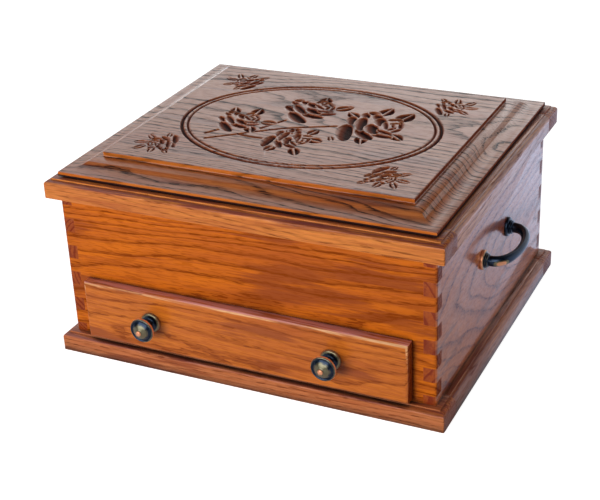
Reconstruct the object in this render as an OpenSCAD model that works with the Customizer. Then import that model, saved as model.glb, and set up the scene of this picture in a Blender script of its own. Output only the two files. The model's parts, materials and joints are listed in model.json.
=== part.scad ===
// Oak jewelry chest: a finger-jointed case on a moulded plinth, a hinged lid with a raised panel,
// one overlay drawer and a sliding tray inside.
// The origin is the middle of the plinth's underside, -Y is out of the front, +Z is up.

/* [Case] */
// Outside width of the finger-jointed case
case_w = 381; // [350:1:440]
// Outside depth of the case
case_d = 327; // [300:1:380]
// Height of the case boards, from the plinth to the lid
case_h = 147.5; // [143:0.5:175]
// Thickness of the case boards
board_t = 12.5; // [11:0.5:15]
// Height of one finger of the corner joints
finger_h = 14.33; // [10:0.01:18]
// Radius of the eased upright corners
corner_r = 3; // [1:0.5:5]
// Thickness of the bottom panel and of the floor above the drawer
panel_t = 6; // [4:0.5:8]
// Play between a loose panel and the boards around it
panel_gap = 0.25; // [0.1:0.05:0.5]

/* [Plinth] */
// Height of the plinth rails
plinth_h = 19.5; // [17:0.5:26]
// How far the plinth stands out past the case
plinth_overhang = 11; // [8:0.5:15]
// Width of a plinth rail, seen from above
plinth_rail_w = 32; // [29:0.5:38]
// Thickness of the panel that closes the plinth below
base_panel_t = 4; // [3:0.5:4.5]
// How far that panel is let into the plinth's rails
base_lap = 6; // [4:0.5:7]

/* [Lid] */
// Height of the lid's rails
lid_rail_h = 19; // [17:0.5:26]
// How far the lid's frame stands out past the case
lid_overhang = 10.2; // [8:0.2:14]
// Width of a lid rail, seen from above
lid_rail_w = 32; // [29:0.5:36]
// Thickness of the raised panel
panel_h = 17.5; // [16.5:0.5:22]
// How far the panel's edge stands in from the frame's edge
panel_inset = 10.8; // [8:0.2:13]
// Height of the panel's thin edge
panel_lip_h = 5.4; // [4:0.1:6.5]
// Width of the bevel around the raised field
bevel_w = 32; // [28:0.5:36]
// Height of the upright step at the edge of the raised field
fillet_h = 3.2; // [1:0.1:4]
// Radius of the cove under that step
cove_r = 1.2; // [0.8:0.1:3]
// Width of the flat rim outside the bevel's curve
bevel_flat = 7; // [4:0.5:10]
// Height of the shadow gap under the panel's edge
panel_gap_h = 1.3; // [0.8:0.1:2]
// Depth of that shadow gap
panel_gap_d = 3; // [1:0.5:5]

/* [Carving] */
// How far the carved oval stands in from the ends of the raised field
oval_in = 24.1; // [18:0.1:36]
// How far the carved oval stands in from the front and back of the raised field
oval_side_in = 25; // [18:0.1:36]
// How far the oval's middle stands in front of the panel's middle
oval_forward = 3; // [0:0.5:8]
// Width of the oval's outer groove
outer_groove_w = 4; // [2:0.1:6]
// Width of the oval's inner groove
inner_groove_w = 3; // [2:0.1:5]
// Distance from the oval's outer edge to its inner groove
inner_groove_in = 6.5; // [5:0.1:12]
// Depth of the oval's grooves
groove_depth = 1.4; // [0.5:0.1:3]
// Size of the roses
rose_size = 1; // [0.8:0.05:1.1]
// Depth of the hollows of the petals
petal_depth = 1.5; // [0.5:0.1:3]
// Depth of the hollows of the leaves
leaf_depth = 1.3; // [0.5:0.1:3]
// Width of the ridge left between two hollows
hollow_ridge_w = 0.6; // [0.4:0.1:1]
// Width of the stems
stem_w = 2.4; // [1.5:0.1:4]
// Depth of the stems
stem_depth = 0.8; // [0.4:0.1:1.5]

/* [Moulding] */
// Radius of the rounded edge of the plinth and the lid frame
mould_r = 5; // [3:0.5:6]
// Height of the small step above the rounded edge
mould_step = 1.4; // [0.8:0.1:2]
// Depth of the small step above the rounded edge
mould_ledge = 0.8; // [0.4:0.1:1.5]
// Radius of the plinth's and the lid frame's upright corners
mould_corner_r = 1.5; // [0.5:0.5:3]

/* [Drawer] */
// Width of the case front left on each side between the side board and the drawer's opening
opening_stile = 18; // [15:0.5:24]
// Height of the drawer's opening
opening_h = 50.5; // [46:0.5:56]
// Thickness of the drawer's face
face_t = 12; // [10:0.5:14]
// How far the face laps over the opening's ends
face_lap_side = 8; // [5:0.5:10]
// How far the face laps over the opening's top
face_lap_top = 7; // [4:0.5:9]
// Gap between the face and the plinth
face_foot_gap = 3; // [1:0.5:5]
// Radius of the face's rounded front edges
face_edge_r = 3.5; // [1:0.5:4]
// Thickness of the drawer box's boards
drawer_t = 9.5; // [8:0.5:11]
// Gap between the shut drawer's box and the case back
drawer_back_gap = 24.5; // [5:0.5:40]
// Play between the drawer box and the opening, on each side and at the top
drawer_play = 1; // [0.5:0.1:1.5]
// Running gap under the drawer
run_gap = 0.3; // [0.2:0.1:0.5]
// Play between the drawer box and its guides
guide_play = 0.5; // [0.3:0.1:0.8]
// Height of the drawer guides
guide_h = 20; // [15:1:28]
// Thickness of the drawer's bottom
drawer_bottom_t = 4; // [3:0.5:5]
// Height of the drawer's bottom above the lower edges of its sides
drawer_bottom_up = 4; // [3:0.5:6]
// Depth of the grooves that hold the drawer's bottom
drawer_groove = 4.5; // [3:0.5:5.5]
// Number of fingers in the drawer box's corner joints
drawer_fingers = 5; // [3:2:7]

/* [Compartment] */
// Height and width of the cleats under the divider panel
cleat_s = 12; // [8:1:13]
// Gap between the top of the opening and the divider panel
divider_gap = 1; // [0:0.5:2]
// Height and width of the ledges that the tray slides on
ledge_s = 8; // [6:0.5:11]
// Thickness of the felt linings
felt_t = 1.2; // [0.8:0.1:2]
// Margin between a felt lining and the boards around it
felt_gap = 0.8; // [0.5:0.1:2]

/* [Tray] */
// Length of the tray, front to back
tray_l = 148; // [120:1:150]
// Height of the tray
tray_h = 28; // [24:0.5:32]
// Thickness of the tray's boards
tray_t = 6.5; // [5:0.5:8]
// Play between the tray and the case boards
tray_play = 0.8; // [0.5:0.1:1.2]
// Room between the tray and the closed lid
tray_headroom = 4; // [2:0.5:8]
// Thickness of the tray's bottom
tray_bottom_t = 3; // [2:0.5:4]
// Height of the tray's bottom above its lower edge
tray_bottom_up = 2.5; // [2:0.5:4]
// Depth of the grooves that hold the tray's bottom
tray_groove = 2.5; // [2:0.5:4]
// Number of fingers in the tray's corner joints
tray_fingers = 3; // [3:2:5]
// Thickness of the tray's dividers
tray_divider_t = 4; // [3:0.5:5]
// Room between the top of the dividers and the top of the tray
tray_divider_low = 3; // [1:0.5:5]
// Number of dividers that run front to back
tray_cross_count = 3; // [2:1:5]

/* [Knobs] */
// Distance of a knob from the end of the drawer's face
knob_in = 74; // [50:1:100]
// Radius of a knob's rim
knob_r = 12.4; // [10:0.1:15]
// How far a knob stands out from the drawer's face
knob_out = 25; // [22:0.5:32]
// Radius of a knob's base plate
knob_plate_r = 10; // [8:0.5:12]
// Radius of a knob's neck
knob_neck_r = 4.5; // [4:0.1:6]

/* [Handles] */
// Distance between the centres of a handle's two feet
handle_span = 76.2; // [64:0.1:100]
// Height of the handles above the plinth
handle_up = 86.5; // [60:0.5:100]
// How far a handle stands out from the side
handle_out = 30.5; // [26:0.5:36]
// Radius of the handle's bow
bow_r = 4.6; // [4:0.1:5.5]
// Radius of the bends at the ends of the bow, at its middle line
bow_bend_r = 18; // [12:0.5:18]
// Radius of the foot's flange
flange_r = 9.7; // [8:0.1:12]
// Thickness of the foot's flange
flange_t = 3; // [2:0.1:4]
// Radius of the ring above the flange
collar_r = 7.2; // [6:0.1:7.8]
// Thickness of the ring above the flange
collar_t = 3.4; // [2:0.1:4]

/* [Hinges] */
// Distance of a hinge's middle from the end of the case
hinge_in = 75.5; // [60:0.5:80]
// Length of a hinge
hinge_l = 50; // [40:1:52]
// Width of a hinge's leaf on the wood
leaf_w = 11; // [9.5:0.5:11]
// Thickness of a hinge's leaf
leaf_t = 1.5; // [1:0.1:1.8]
// Outer radius of the hinge's knuckles
knuckle_r = 3; // [2.8:0.1:3.4]
// Radius of the hinge's pin
hinge_pin_r = 1.5; // [1.2:0.1:1.6]
// Play around the pin in its knuckles
pin_play = 0.05; // [0.02:0.01:0.09]
// Gap between the knuckles and the case's back face
knuckle_gap = 0.5; // [0.3:0.1:1]
// Gap between one knuckle and the next
knuckle_play = 0.2; // [0.1:0.05:0.4]

/* [Fasteners] */
// Play around a screw or dowel in its hole
fastener_play = 0.05; // [0.02:0.01:0.1]
// Radius of the long wood screws in the plinth and the lid
wood_screw_r = 1.75; // [1.4:0.05:2]
// Radius of the heads of the long wood screws
wood_head_r = 3.6; // [3:0.1:4]
// Height of the heads of the long wood screws
wood_head_h = 2; // [1.5:0.1:3]
// How deep those heads are sunk
wood_head_sink = 3; // [2:0.5:4]
// Radius of the machine screws in the knobs and handles
machine_screw_r = 2; // [1.6:0.1:2.2]
// Radius of the heads of the machine screws
machine_head_r = 4; // [3.2:0.1:4.4]
// Height of the heads of the machine screws
machine_head_h = 2.4; // [1.6:0.1:3]
// Depth of the machine screws in the knobs and handles
machine_grip = 9; // [6:0.5:10]
// Radius of the dowels
dowel_r = 3; // [2:0.5:4]
// Length of the dowels
dowel_l = 30; // [20:1:36]
// Distance between two dowels in one joint
dowel_pitch = 16; // [12:0.5:18]

/* [Hidden] */
$fn = 64;

// How far a cutting shape reaches past what it cuts
over = 1;
// Steps in each curve of the raised panel's bevel
curve_steps = 6;
// Corners of each carved petal and of the carved oval
petal_corners = 8;
oval_corners = 48;
// How many of a rose's main petals a corner spray has
spray_petals = 9;

// Main petals of a rose around its heart: x, y, turn, length, width
rose_petals = [
    [-37, -26, 107, 42, 16], [-43, 6, 110, 18, 9], [-35, 23, 110, 12, 7], [-28, 30, 150, 11, 7],
    [-19, -24, 137, 26, 10], [-30, 0, 105, 28, 9], [-20, 20, 125, 14, 8], [-2, -22, -8, 18, 8],
    [-15, -8, 118, 20, 11], [-14, 9, 118, 15, 10], [0, -11, -28, 15, 5], [7, 4, 100, 20, 5],
    [-2, 4, 118, 16, 5]
];
// Roses inside the oval: x, y, size, turn
rose_places = [[77, 16, 1, 0], [-5, 45, 0.84, 30], [-62, -7, 0.7, 26], [8, -44, 0.68, -16]];
// Leaves inside the oval, from their stalks: x, y, turn, length, width
oval_leaves = [
    [78, 31, 73, 29, 21], [57, 41, 80, 25, 18], [38, 28, 137, 21, 15], [83, 1, -38, 23, 16],
    [59, -14, -70, 21, 16], [37, -35, 118, 14, 9], [-10, 53, 101, 20, 17], [7, 41, 44, 23, 17],
    [-25, 33, 172, 18, 17], [-84, -2, 112, 21, 15], [-64, 2, 92, 20, 17], [-50, -11, -3, 20, 15],
    [-55, -25, -62, 19, 15], [9, -28, 72, 17, 14], [13, -37, -12, 18, 17], [9, -61, -60, 21, 15],
    [-9, -63, 252, 16, 14], [-2, -30, 152, 17, 12]
];
// Stems inside the oval: x and y of both ends
stems = [
    [[-82, -68], [-42, -36]], [[-42, -36], [-9, -14]], [[-9, -14], [26, 2]], [[-57, -48], [-30, -50]],
    [[-88, -56], [-78, -40]], [[-42, -27], [-28, 0]]
];
// Sprays in the corners of the field: x, y of each one's middle
spray_places = [[-118, 88], [118, 87], [-119, -94], [118, -97]];
// Rose of a spray, outward from its middle: x, y, size, turn
spray_rose = [4, 2, 0.5, 12];
// Leaves of a spray, outward from its middle: x, y, turn, length, width
spray_leaves = [
    [8, 7, 58, 18, 10], [8, 1, 12, 19, 10], [0, 9, 102, 17, 10], [6, -6, -36, 18, 9.5],
    [-12, 12, 135, 13, 8], [-2, -16, -75, 12, 8]
];

// Half sizes of the outlines, and the heights of the main levels
case_x = case_w / 2;
case_y = case_d / 2;
inner_x = case_x - board_t;
inner_y = case_y - board_t;
plinth_x = case_x + plinth_overhang;
plinth_y = case_y + plinth_overhang;
lid_x = case_x + lid_overhang;
lid_y = case_y + lid_overhang;
panel_x = lid_x - panel_inset;
panel_y = lid_y - panel_inset;
seam_z = plinth_h + case_h;
panel_z = seam_z + lid_rail_h;
top_z = panel_z + panel_h;

// Drawer: opening, box and face
opening_x = inner_x - opening_stile;
opening_z0 = plinth_h + panel_t;
opening_z1 = opening_z0 + opening_h;
drawer_x = opening_x - drawer_play;
drawer_z = opening_z0 + run_gap;
drawer_h = opening_h - run_gap - drawer_play;
drawer_l = case_y + inner_y - drawer_back_gap;
face_x = opening_x + face_lap_side;
face_y = -case_y - face_t;
face_z0 = plinth_h + face_foot_gap;
face_z1 = opening_z1 + face_lap_top;
knob_x = face_x - knob_in;
knob_z = (face_z0 + face_z1) / 2 + 1;
drawer_floor_z = drawer_z + drawer_bottom_up + drawer_bottom_t;

// Upper compartment and tray
divider_z = opening_z1 + divider_gap;
floor_z = divider_z + panel_t;
tray_x = inner_x - tray_play;
tray_y1 = inner_y - tray_play;
tray_y0 = tray_y1 - tray_l;
tray_z1 = seam_z - tray_headroom;
tray_z0 = tray_z1 - tray_h;
tray_floor_z = tray_z0 + tray_bottom_up + tray_bottom_t;
tray_mid_y = (tray_y0 + tray_y1) / 2;
tray_in_x = tray_x - tray_t;
tray_in_y0 = tray_y0 + tray_t;
tray_in_y1 = tray_y1 - tray_t;
divider_top_z = tray_z1 - tray_divider_low;
cell_w = (2 * tray_in_x - tray_cross_count * tray_divider_t) / (tray_cross_count + 1);

// Handles: height of the feet and the bow's middle line
handle_z = plinth_h + handle_up;
bow_out = handle_out - bow_r;

// Hinges: the pin's line and the five knuckles
hinge_x = case_x - hinge_in;
pin_y = case_y + knuckle_gap + knuckle_r;
pin_z = seam_z;
knuckle_count = 5;
knuckle_l = hinge_l / knuckle_count;
knuckle_clear = 0.3;
pin_head_r = 2.4;
pin_head_h = 1.2;
leaf_screw_r = 1.2;
leaf_head_r = 2.4;
leaf_head_h = 1.1;
leaf_screw_l = 12;
leaf_screw_pitch = 16;
leaf_screw_y = case_y - leaf_w / 2;

// Places of the long screws and the dowels
plinth_screw_x = (opening_x + inner_x) / 2;
plinth_screw_y = 80;
plinth_screw_l = 29;
lid_screw_pitch = 75;
lid_screw_side_y = 60;
lid_screw_in = 6;
lid_screw_grip = 5;

// Heights of the edges between the fingers of a joint: equal fingers with a part finger at both ends
function part_finger_edges(h, f) =
    let (count = 2 * ceil((h / f - 1) / 2 - 1) + 1, end = (h - count * f) / 2)
    concat([0], [for (i = [0:count]) end + i * f], [h]);

// Heights of the edges between equal fingers
function equal_finger_edges(h, count) = [for (i = [0:count]) h * i / count];

// Points along an arc, in degrees
function arc_points(centre, r, from, to) =
    [for (i = [0:curve_steps]) let (a = from + (to - from) * i / curve_steps)
        [centre[0] + r * cos(a), centre[1] + r * sin(a)]];

// A block between two corners
module block(x, y, z) {
    translate([x[0], y[0], z[0]]) cube([x[1] - x[0], y[1] - y[0], z[1] - z[0]]);
}

// A copy on each side of the middle
module both_sides() {
    children();
    mirror([1, 0, 0]) children();
}

// An upright prism with rounded corners, from half sizes
module rounded_prism(x, y, z, r) {
    translate([0, 0, z[0]]) linear_extrude(z[1] - z[0]) {
        square([2 * (x - r), 2 * y], center = true);
        square([2 * x, 2 * (y - r)], center = true);
        for (sx = [-1, 1], sy = [-1, 1]) translate([sx * (x - r), sy * (y - r)]) circle(r);
    }
}

// A board along X that keeps the fingers whose number has the given parity and loses the others
module jointed_board(half_l, y, z, edges, parity, end_t) {
    last = len(edges) - 2;
    difference() {
        block([-half_l, half_l], y, [z, z + edges[last + 1]]);
        both_sides() for (i = [0:last]) if (i % 2 != parity)
            block([half_l - end_t, half_l + over], [y[0] - over, y[1] + over],
                  [z + edges[i] - (i == 0 ? over : 0), z + edges[i + 1] + (i == last ? over : 0)]);
    }
}

// The same board along Y, on the right for positive x and on the left for negative x
module jointed_side(half_l, x, z, edges, parity, end_t) {
    rotate([0, 0, 90]) jointed_board(half_l, [-x[1], -x[0]], z, edges, parity, end_t);
}

// Section of a rail with a rounded upper edge and a small step above it, both sides at once
module moulded_section(half, h) {
    shoulder = h - mould_step;
    inner = half - mould_r;
    translate([-half, 0]) square([2 * half, shoulder - mould_r]);
    translate([-inner, 0]) square([2 * inner, shoulder]);
    translate([mould_ledge - inner, 0]) square([2 * (inner - mould_ledge), h]);
    for (s = [-1, 1]) translate([s * inner, shoulder - mould_r]) circle(mould_r);
}

// A slab with that moulding on all four sides
module moulded_slab(x, y, z, h) {
    intersection() {
        translate([0, y + over, z]) rotate([90, 0, 0]) linear_extrude(2 * (y + over)) moulded_section(x, h);
        translate([-x - over, 0, z]) rotate([90, 0, 90]) linear_extrude(2 * (x + over)) moulded_section(y, h);
        rounded_prism(x, y, [z - over, z + h + over], mould_corner_r);
    }
}

// A full-length moulded rail at the front (side = -1) or the back (side = 1)
module long_rail(x, y, z, h, rail_w, side) {
    near = side < 0 ? [-y - over, rail_w - y] : [y - rail_w, y + over];
    intersection() {
        moulded_slab(x, y, z, h);
        block([-x - over, x + over], near, [z - over, z + h + over]);
    }
}

// A moulded rail between the long ones, on the left (side = -1) or the right (side = 1)
module short_rail(x, y, z, h, rail_w, side) {
    near = side < 0 ? [-x - over, rail_w - x] : [x - rail_w, x + over];
    intersection() {
        moulded_slab(x, y, z, h);
        block(near, [rail_w - y, y - rail_w], [z - over, z + h + over]);
    }
}

// Dowels across the four butt joints of a frame
module frame_dowels(x, y, z, h, rail_w, play) {
    for (sx = [-1, 1], sy = [-1, 1], d = [-0.5, 0.5])
        translate([sx * (x - rail_w / 2 + d * dowel_pitch), sy * (y - rail_w), z + h / 2])
            rotate([90, 0, 0]) cylinder(r = dowel_r + play, h = dowel_l + 2 * play, center = true);
}

// An upright screw with a flat head at its lower end
module upright_screw(at, head_r, head_h, shank_r, length) {
    translate(at) {
        cylinder(r = head_r, h = head_h);
        cylinder(r = shank_r, h = length);
    }
}

// The sunk hole for that screw, open below
module upright_hole(at, head_r, head_h, shank_r, length) {
    translate([at[0], at[1], at[2] - wood_head_sink - over])
        cylinder(r = head_r + fastener_play, h = head_h + wood_head_sink + over);
    translate(at) cylinder(r = shank_r + fastener_play, h = length + fastener_play);
}

// Places of the plinth's screws
function plinth_screw_places() = concat(
    [for (sx = [-1, 1], sy = [-1, 1]) [sx * plinth_screw_x, sy * (case_y - board_t / 2), wood_head_sink]],
    [for (sx = [-1, 1], sy = [-1, 1]) [sx * (case_x - board_t / 2), sy * plinth_screw_y, wood_head_sink]]);

module plinth_screws() color("silver") for (at = plinth_screw_places())
    upright_screw(at, wood_head_r, wood_head_h, wood_screw_r, plinth_screw_l);
module plinth_screw_holes() for (at = plinth_screw_places())
    upright_hole(at, wood_head_r, wood_head_h, wood_screw_r, plinth_screw_l);

// Places of the screws that hold the raised panel
function lid_screw_places() = concat(
    [for (i = [-1:1], sy = [-1, 1])
        [i * lid_screw_pitch, sy * (lid_y - lid_rail_w + lid_screw_in), seam_z + wood_head_sink]],
    [for (sx = [-1, 1], sy = [-1, 1])
        [sx * (lid_x - lid_rail_w + lid_screw_in), sy * lid_screw_side_y, seam_z + wood_head_sink]]);
lid_screw_l = lid_rail_h - wood_head_sink + lid_screw_grip;

module lid_panel_screws() color("silver") for (at = lid_screw_places())
    upright_screw(at, wood_head_r, wood_head_h, wood_screw_r, lid_screw_l);
module lid_screw_holes() for (at = lid_screw_places())
    upright_hole(at, wood_head_r, wood_head_h, wood_screw_r, lid_screw_l);

// Panel let into the plinth's rails from below, flush with their underside, and its rebate
module base_panel_block(gap, low) {
    x = plinth_x - plinth_rail_w + base_lap - gap;
    y = plinth_y - plinth_rail_w + base_lap - gap;
    block([-x, x], [-y, y], [low, base_panel_t]);
}
module base_panel() color("burlywood") base_panel_block(panel_gap, 0);

// Plinth
module plinth_rail_cuts() {
    plinth_screw_holes();
    base_panel_block(0, -over);
    frame_dowels(plinth_x, plinth_y, 0, plinth_h, plinth_rail_w, fastener_play);
}
module plinth_long_rail(side) color("sienna") difference() {
    long_rail(plinth_x, plinth_y, 0, plinth_h, plinth_rail_w, side);
    plinth_rail_cuts();
}
module plinth_short_rail(side) color("sienna") difference() {
    short_rail(plinth_x, plinth_y, 0, plinth_h, plinth_rail_w, side);
    plinth_rail_cuts();
}
module plinth_front_rail() plinth_long_rail(-1);
module plinth_back_rail() plinth_long_rail(1);
module plinth_left_rail() plinth_short_rail(-1);
module plinth_right_rail() plinth_short_rail(1);
module plinth_dowels() color("burlywood")
    frame_dowels(plinth_x, plinth_y, 0, plinth_h, plinth_rail_w, 0);

// Case boards
case_edges = part_finger_edges(case_h, finger_h);
module case_outline() rounded_prism(case_x, case_y, [plinth_h - over, seam_z + over], corner_r);
module case_front() color("peru") difference() {
    intersection() {
        jointed_board(case_x, [-case_y, -inner_y], plinth_h, case_edges, 1, board_t);
        case_outline();
    }
    block([-opening_x, opening_x], [-case_y - over, over - inner_y], [opening_z0, opening_z1]);
    plinth_screw_holes();
}
module case_back() color("peru") difference() {
    intersection() {
        jointed_board(case_x, [inner_y, case_y], plinth_h, case_edges, 1, board_t);
        case_outline();
    }
    both_sides() translate([hinge_x, 0, 0]) {
        block([-hinge_l / 2, hinge_l / 2], [case_y - leaf_w, case_y + over],
              [seam_z - leaf_t, seam_z + over]);
        leaf_screws_down(fastener_play);
    }
    plinth_screw_holes();
}
module case_side(side) color("peru") difference() {
    intersection() {
        jointed_side(case_y, side < 0 ? [-case_x, -inner_x] : [inner_x, case_x],
                     plinth_h, case_edges, 0, board_t);
        case_outline();
    }
    for (s = [-1, 1]) translate([0, s * handle_span / 2, handle_z]) rotate([0, 90, 0])
        cylinder(r = machine_screw_r + fastener_play, h = 2 * (case_x + over), center = true);
    plinth_screw_holes();
}
module case_left_side() case_side(-1);
module case_right_side() case_side(1);

// Panels and strips inside the case
module inner_panel(z) color("burlywood")
    block([panel_gap - inner_x, inner_x - panel_gap], [panel_gap - inner_y, inner_y - panel_gap],
          [z, z + panel_t]);
module bottom_panel() inner_panel(plinth_h);
module divider_panel() inner_panel(divider_z);
module drawer_guide_right() color("tan")
    block([drawer_x + guide_play, inner_x], [-inner_y, inner_y], [opening_z0, opening_z0 + guide_h]);
module drawer_guide_left() mirror([1, 0, 0]) drawer_guide_right();
module divider_cleat_right() color("tan")
    block([inner_x - cleat_s, inner_x], [-inner_y, inner_y], [divider_z - cleat_s, divider_z]);
module divider_cleat_left() mirror([1, 0, 0]) divider_cleat_right();
module tray_ledge_right() color("tan")
    block([inner_x - ledge_s, inner_x], [-inner_y, inner_y],
          [tray_z0 - run_gap - ledge_s, tray_z0 - run_gap]);
module tray_ledge_left() mirror([1, 0, 0]) tray_ledge_right();
module compartment_felt() color("maroon")
    block([felt_gap - inner_x, inner_x - felt_gap], [felt_gap - inner_y, inner_y - felt_gap],
          [floor_z, floor_z + felt_t]);

// Side handles: two feet with a flange and a ring, and a bow between them
module handle_foot() rotate([0, 90, 0]) rotate_extrude() polygon([
    [0, 0], [flange_r, 0], [flange_r, flange_t * 0.7], [flange_r - flange_t * 0.3, flange_t],
    [collar_r, flange_t], [collar_r, flange_t + collar_t * 0.8],
    [collar_r - collar_t * 0.2, flange_t + collar_t], [0, flange_t + collar_t]]);
module side_handle_right() color("dimgray") translate([case_x, 0, handle_z]) difference() {
    union() for (s = [0, 1]) mirror([0, s, 0]) {
        translate([0, handle_span / 2, 0]) {
            handle_foot();
            rotate([0, 90, 0]) cylinder(r = bow_r, h = bow_out - bow_bend_r);
        }
        translate([bow_out - bow_bend_r, handle_span / 2 - bow_bend_r, 0])
            rotate_extrude(angle = 90) translate([bow_bend_r, 0]) circle(bow_r);
        translate([bow_out, 0, 0]) rotate([-90, 0, 0]) cylinder(r = bow_r, h = handle_span / 2 - bow_bend_r);
    }
    for (s = [-1, 1]) translate([-over, s * handle_span / 2, 0]) rotate([0, 90, 0])
        cylinder(r = machine_screw_r + fastener_play, h = machine_grip + over + fastener_play);
}
module side_handle_left() mirror([1, 0, 0]) side_handle_right();

// A machine screw along +X with its head at the start
module machine_screw(length) rotate([0, 90, 0]) {
    translate([0, 0, -machine_head_h]) cylinder(r = machine_head_r, h = machine_head_h);
    cylinder(r = machine_screw_r, h = length);
}
module handle_screws() color("silver") both_sides() for (s = [-1, 1])
    translate([inner_x, s * handle_span / 2, handle_z]) machine_screw(board_t + machine_grip);

// Hinges: the case leaf has the odd knuckles, the lid leaf the even ones
module knuckles(parity, r, play) for (i = [0:knuckle_count - 1]) if (i % 2 == parity)
    translate([i * knuckle_l - hinge_l / 2 + play / 2, pin_y, pin_z]) rotate([0, 90, 0])
        cylinder(r = r, h = knuckle_l - play);
module leaf_countersink(play) {
    cylinder(r1 = leaf_head_r + play, r2 = leaf_screw_r + play, h = leaf_head_h + play);
    cylinder(r = leaf_screw_r + play, h = leaf_screw_l + play);
}
module leaf_screws_up(play) for (i = [-1:1])
    translate([i * leaf_screw_pitch, leaf_screw_y, seam_z]) leaf_countersink(play);
module leaf_screws_down(play) for (i = [-1:1])
    translate([i * leaf_screw_pitch, leaf_screw_y, seam_z]) mirror([0, 0, 1]) leaf_countersink(play);
module hinge_leaf(parity, z) difference() {
    union() {
        block([-hinge_l / 2, hinge_l / 2], [case_y - leaf_w, pin_y], z);
        knuckles(parity, knuckle_r, knuckle_play);
    }
    knuckles(1 - parity, knuckle_r + knuckle_clear, -knuckle_play);
    translate([-hinge_l / 2 - over, pin_y, pin_z]) rotate([0, 90, 0])
        cylinder(r = hinge_pin_r + pin_play, h = hinge_l + 2 * over);
    leaf_screws_up(fastener_play);
    leaf_screws_down(fastener_play);
}
module hinge_case_leaf_right() color("goldenrod") translate([hinge_x, 0, 0])
    hinge_leaf(0, [seam_z - leaf_t, seam_z]);
module hinge_lid_leaf_right() color("gold") translate([hinge_x, 0, 0])
    hinge_leaf(1, [seam_z, seam_z + leaf_t]);
module hinge_pin_right() color("darkgoldenrod") translate([hinge_x, pin_y, pin_z]) rotate([0, 90, 0]) {
    cylinder(r = hinge_pin_r, h = hinge_l, center = true);
    for (s = [0, 1]) mirror([0, 0, s]) translate([0, 0, (hinge_l - knuckle_play) / 2])
        cylinder(r1 = pin_head_r, r2 = pin_head_r - pin_head_h / 2, h = pin_head_h);
}
module hinge_case_leaf_left() mirror([1, 0, 0]) hinge_case_leaf_right();
module hinge_lid_leaf_left() mirror([1, 0, 0]) hinge_lid_leaf_right();
module hinge_pin_left() mirror([1, 0, 0]) hinge_pin_right();
module hinge_screws_case() color("goldenrod") both_sides() translate([hinge_x, 0, 0]) leaf_screws_down(0);
module hinge_screws_lid() color("goldenrod") both_sides() translate([hinge_x, 0, 0]) leaf_screws_up(0);

// Lid frame
module lid_rail_cuts() {
    lid_screw_holes();
    frame_dowels(lid_x, lid_y, seam_z, lid_rail_h, lid_rail_w, fastener_play);
}
module lid_short_rail(side) color("sienna") difference() {
    short_rail(lid_x, lid_y, seam_z, lid_rail_h, lid_rail_w, side);
    lid_rail_cuts();
}
module lid_front_rail() color("sienna") difference() {
    long_rail(lid_x, lid_y, seam_z, lid_rail_h, lid_rail_w, -1);
    lid_rail_cuts();
}
module lid_back_rail() color("sienna") difference() {
    long_rail(lid_x, lid_y, seam_z, lid_rail_h, lid_rail_w, 1);
    lid_rail_cuts();
    both_sides() translate([hinge_x, 0, 0]) {
        block([-hinge_l / 2, hinge_l / 2], [case_y - leaf_w, pin_y], [seam_z - over, seam_z + leaf_t]);
        translate([-hinge_l / 2 - pin_head_h - over, pin_y, pin_z]) rotate([0, 90, 0])
            cylinder(r = knuckle_r + knuckle_clear, h = hinge_l + 2 * (pin_head_h + over));
        leaf_screws_up(fastener_play);
    }
}
module lid_left_rail() lid_short_rail(-1);
module lid_right_rail() lid_short_rail(1);
module lid_dowels() color("burlywood")
    frame_dowels(lid_x, lid_y, seam_z, lid_rail_h, lid_rail_w, 0);

// Raised panel: one half of its section, from the middle to the edge.
// The bevel is a cove below the upright step, then a swell that runs out into the flat rim.
bevel_run = bevel_w - bevel_flat - cove_r;
bevel_fall = panel_h - panel_lip_h - fillet_h - cove_r;
bevel_angle = 2 * atan(bevel_fall / bevel_run);
bevel_r = bevel_run / (2 * sin(bevel_angle));
function panel_half_section(half) =
    let (field = half - bevel_w, rim = half - bevel_flat,
         cove_z = panel_h - fillet_h, swell_z = cove_z - cove_r)
    concat(
        [[half - panel_gap_d, 0], [half - panel_gap_d, panel_gap_h],
         [half, panel_gap_h], [half, panel_lip_h]],
        arc_points([rim, panel_lip_h + bevel_r], bevel_r, -90, -90 - bevel_angle),
        arc_points([field + cove_r, swell_z - bevel_r], bevel_r, 90 - bevel_angle, 90),
        arc_points([field + cove_r, cove_z], cove_r, -90, -180),
        [[field, panel_h]]);
function mirrored(points) = [for (i = [len(points) - 1:-1:0]) [-points[i][0], points[i][1]]];
module panel_section(half) {
    right = panel_half_section(half);
    polygon(concat(right, mirrored(right)));
}

// Carving in the panel's field
module sunk(depth) translate([0, 0, top_z - depth]) linear_extrude(depth + over) children();
module oval_outline(half_x, half_y, corners)
    polygon([for (i = [0:corners - 1]) [half_x * cos(i * 360 / corners), half_y * sin(i * 360 / corners)]]);
module petal_hollow(at) translate([at[0], at[1], 0]) rotate(at[2]) sunk(petal_depth)
    oval_outline((at[3] - hollow_ridge_w) / 2, (at[4] - hollow_ridge_w) / 2, petal_corners);
module leaf_hollow(at) translate([at[0], at[1], 0]) rotate(at[2]) sunk(leaf_depth) polygon([
    [hollow_ridge_w, 0], [at[3] * 0.35, -at[4] * 0.42], [at[3] * 0.72, -at[4] * 0.3],
    [at[3] - hollow_ridge_w, 0], [at[3] * 0.72, at[4] * 0.3], [at[3] * 0.35, at[4] * 0.42]
]);
module rose_hollows(at, petals) translate([at[0], at[1], 0]) rotate(at[3]) {
    size = at[2] * rose_size;
    for (i = [0:petals - 1]) {
        p = rose_petals[i];
        petal_hollow([p[0] * size, p[1] * size, p[2], p[3] * size, p[4] * size]);
    }
}
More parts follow.
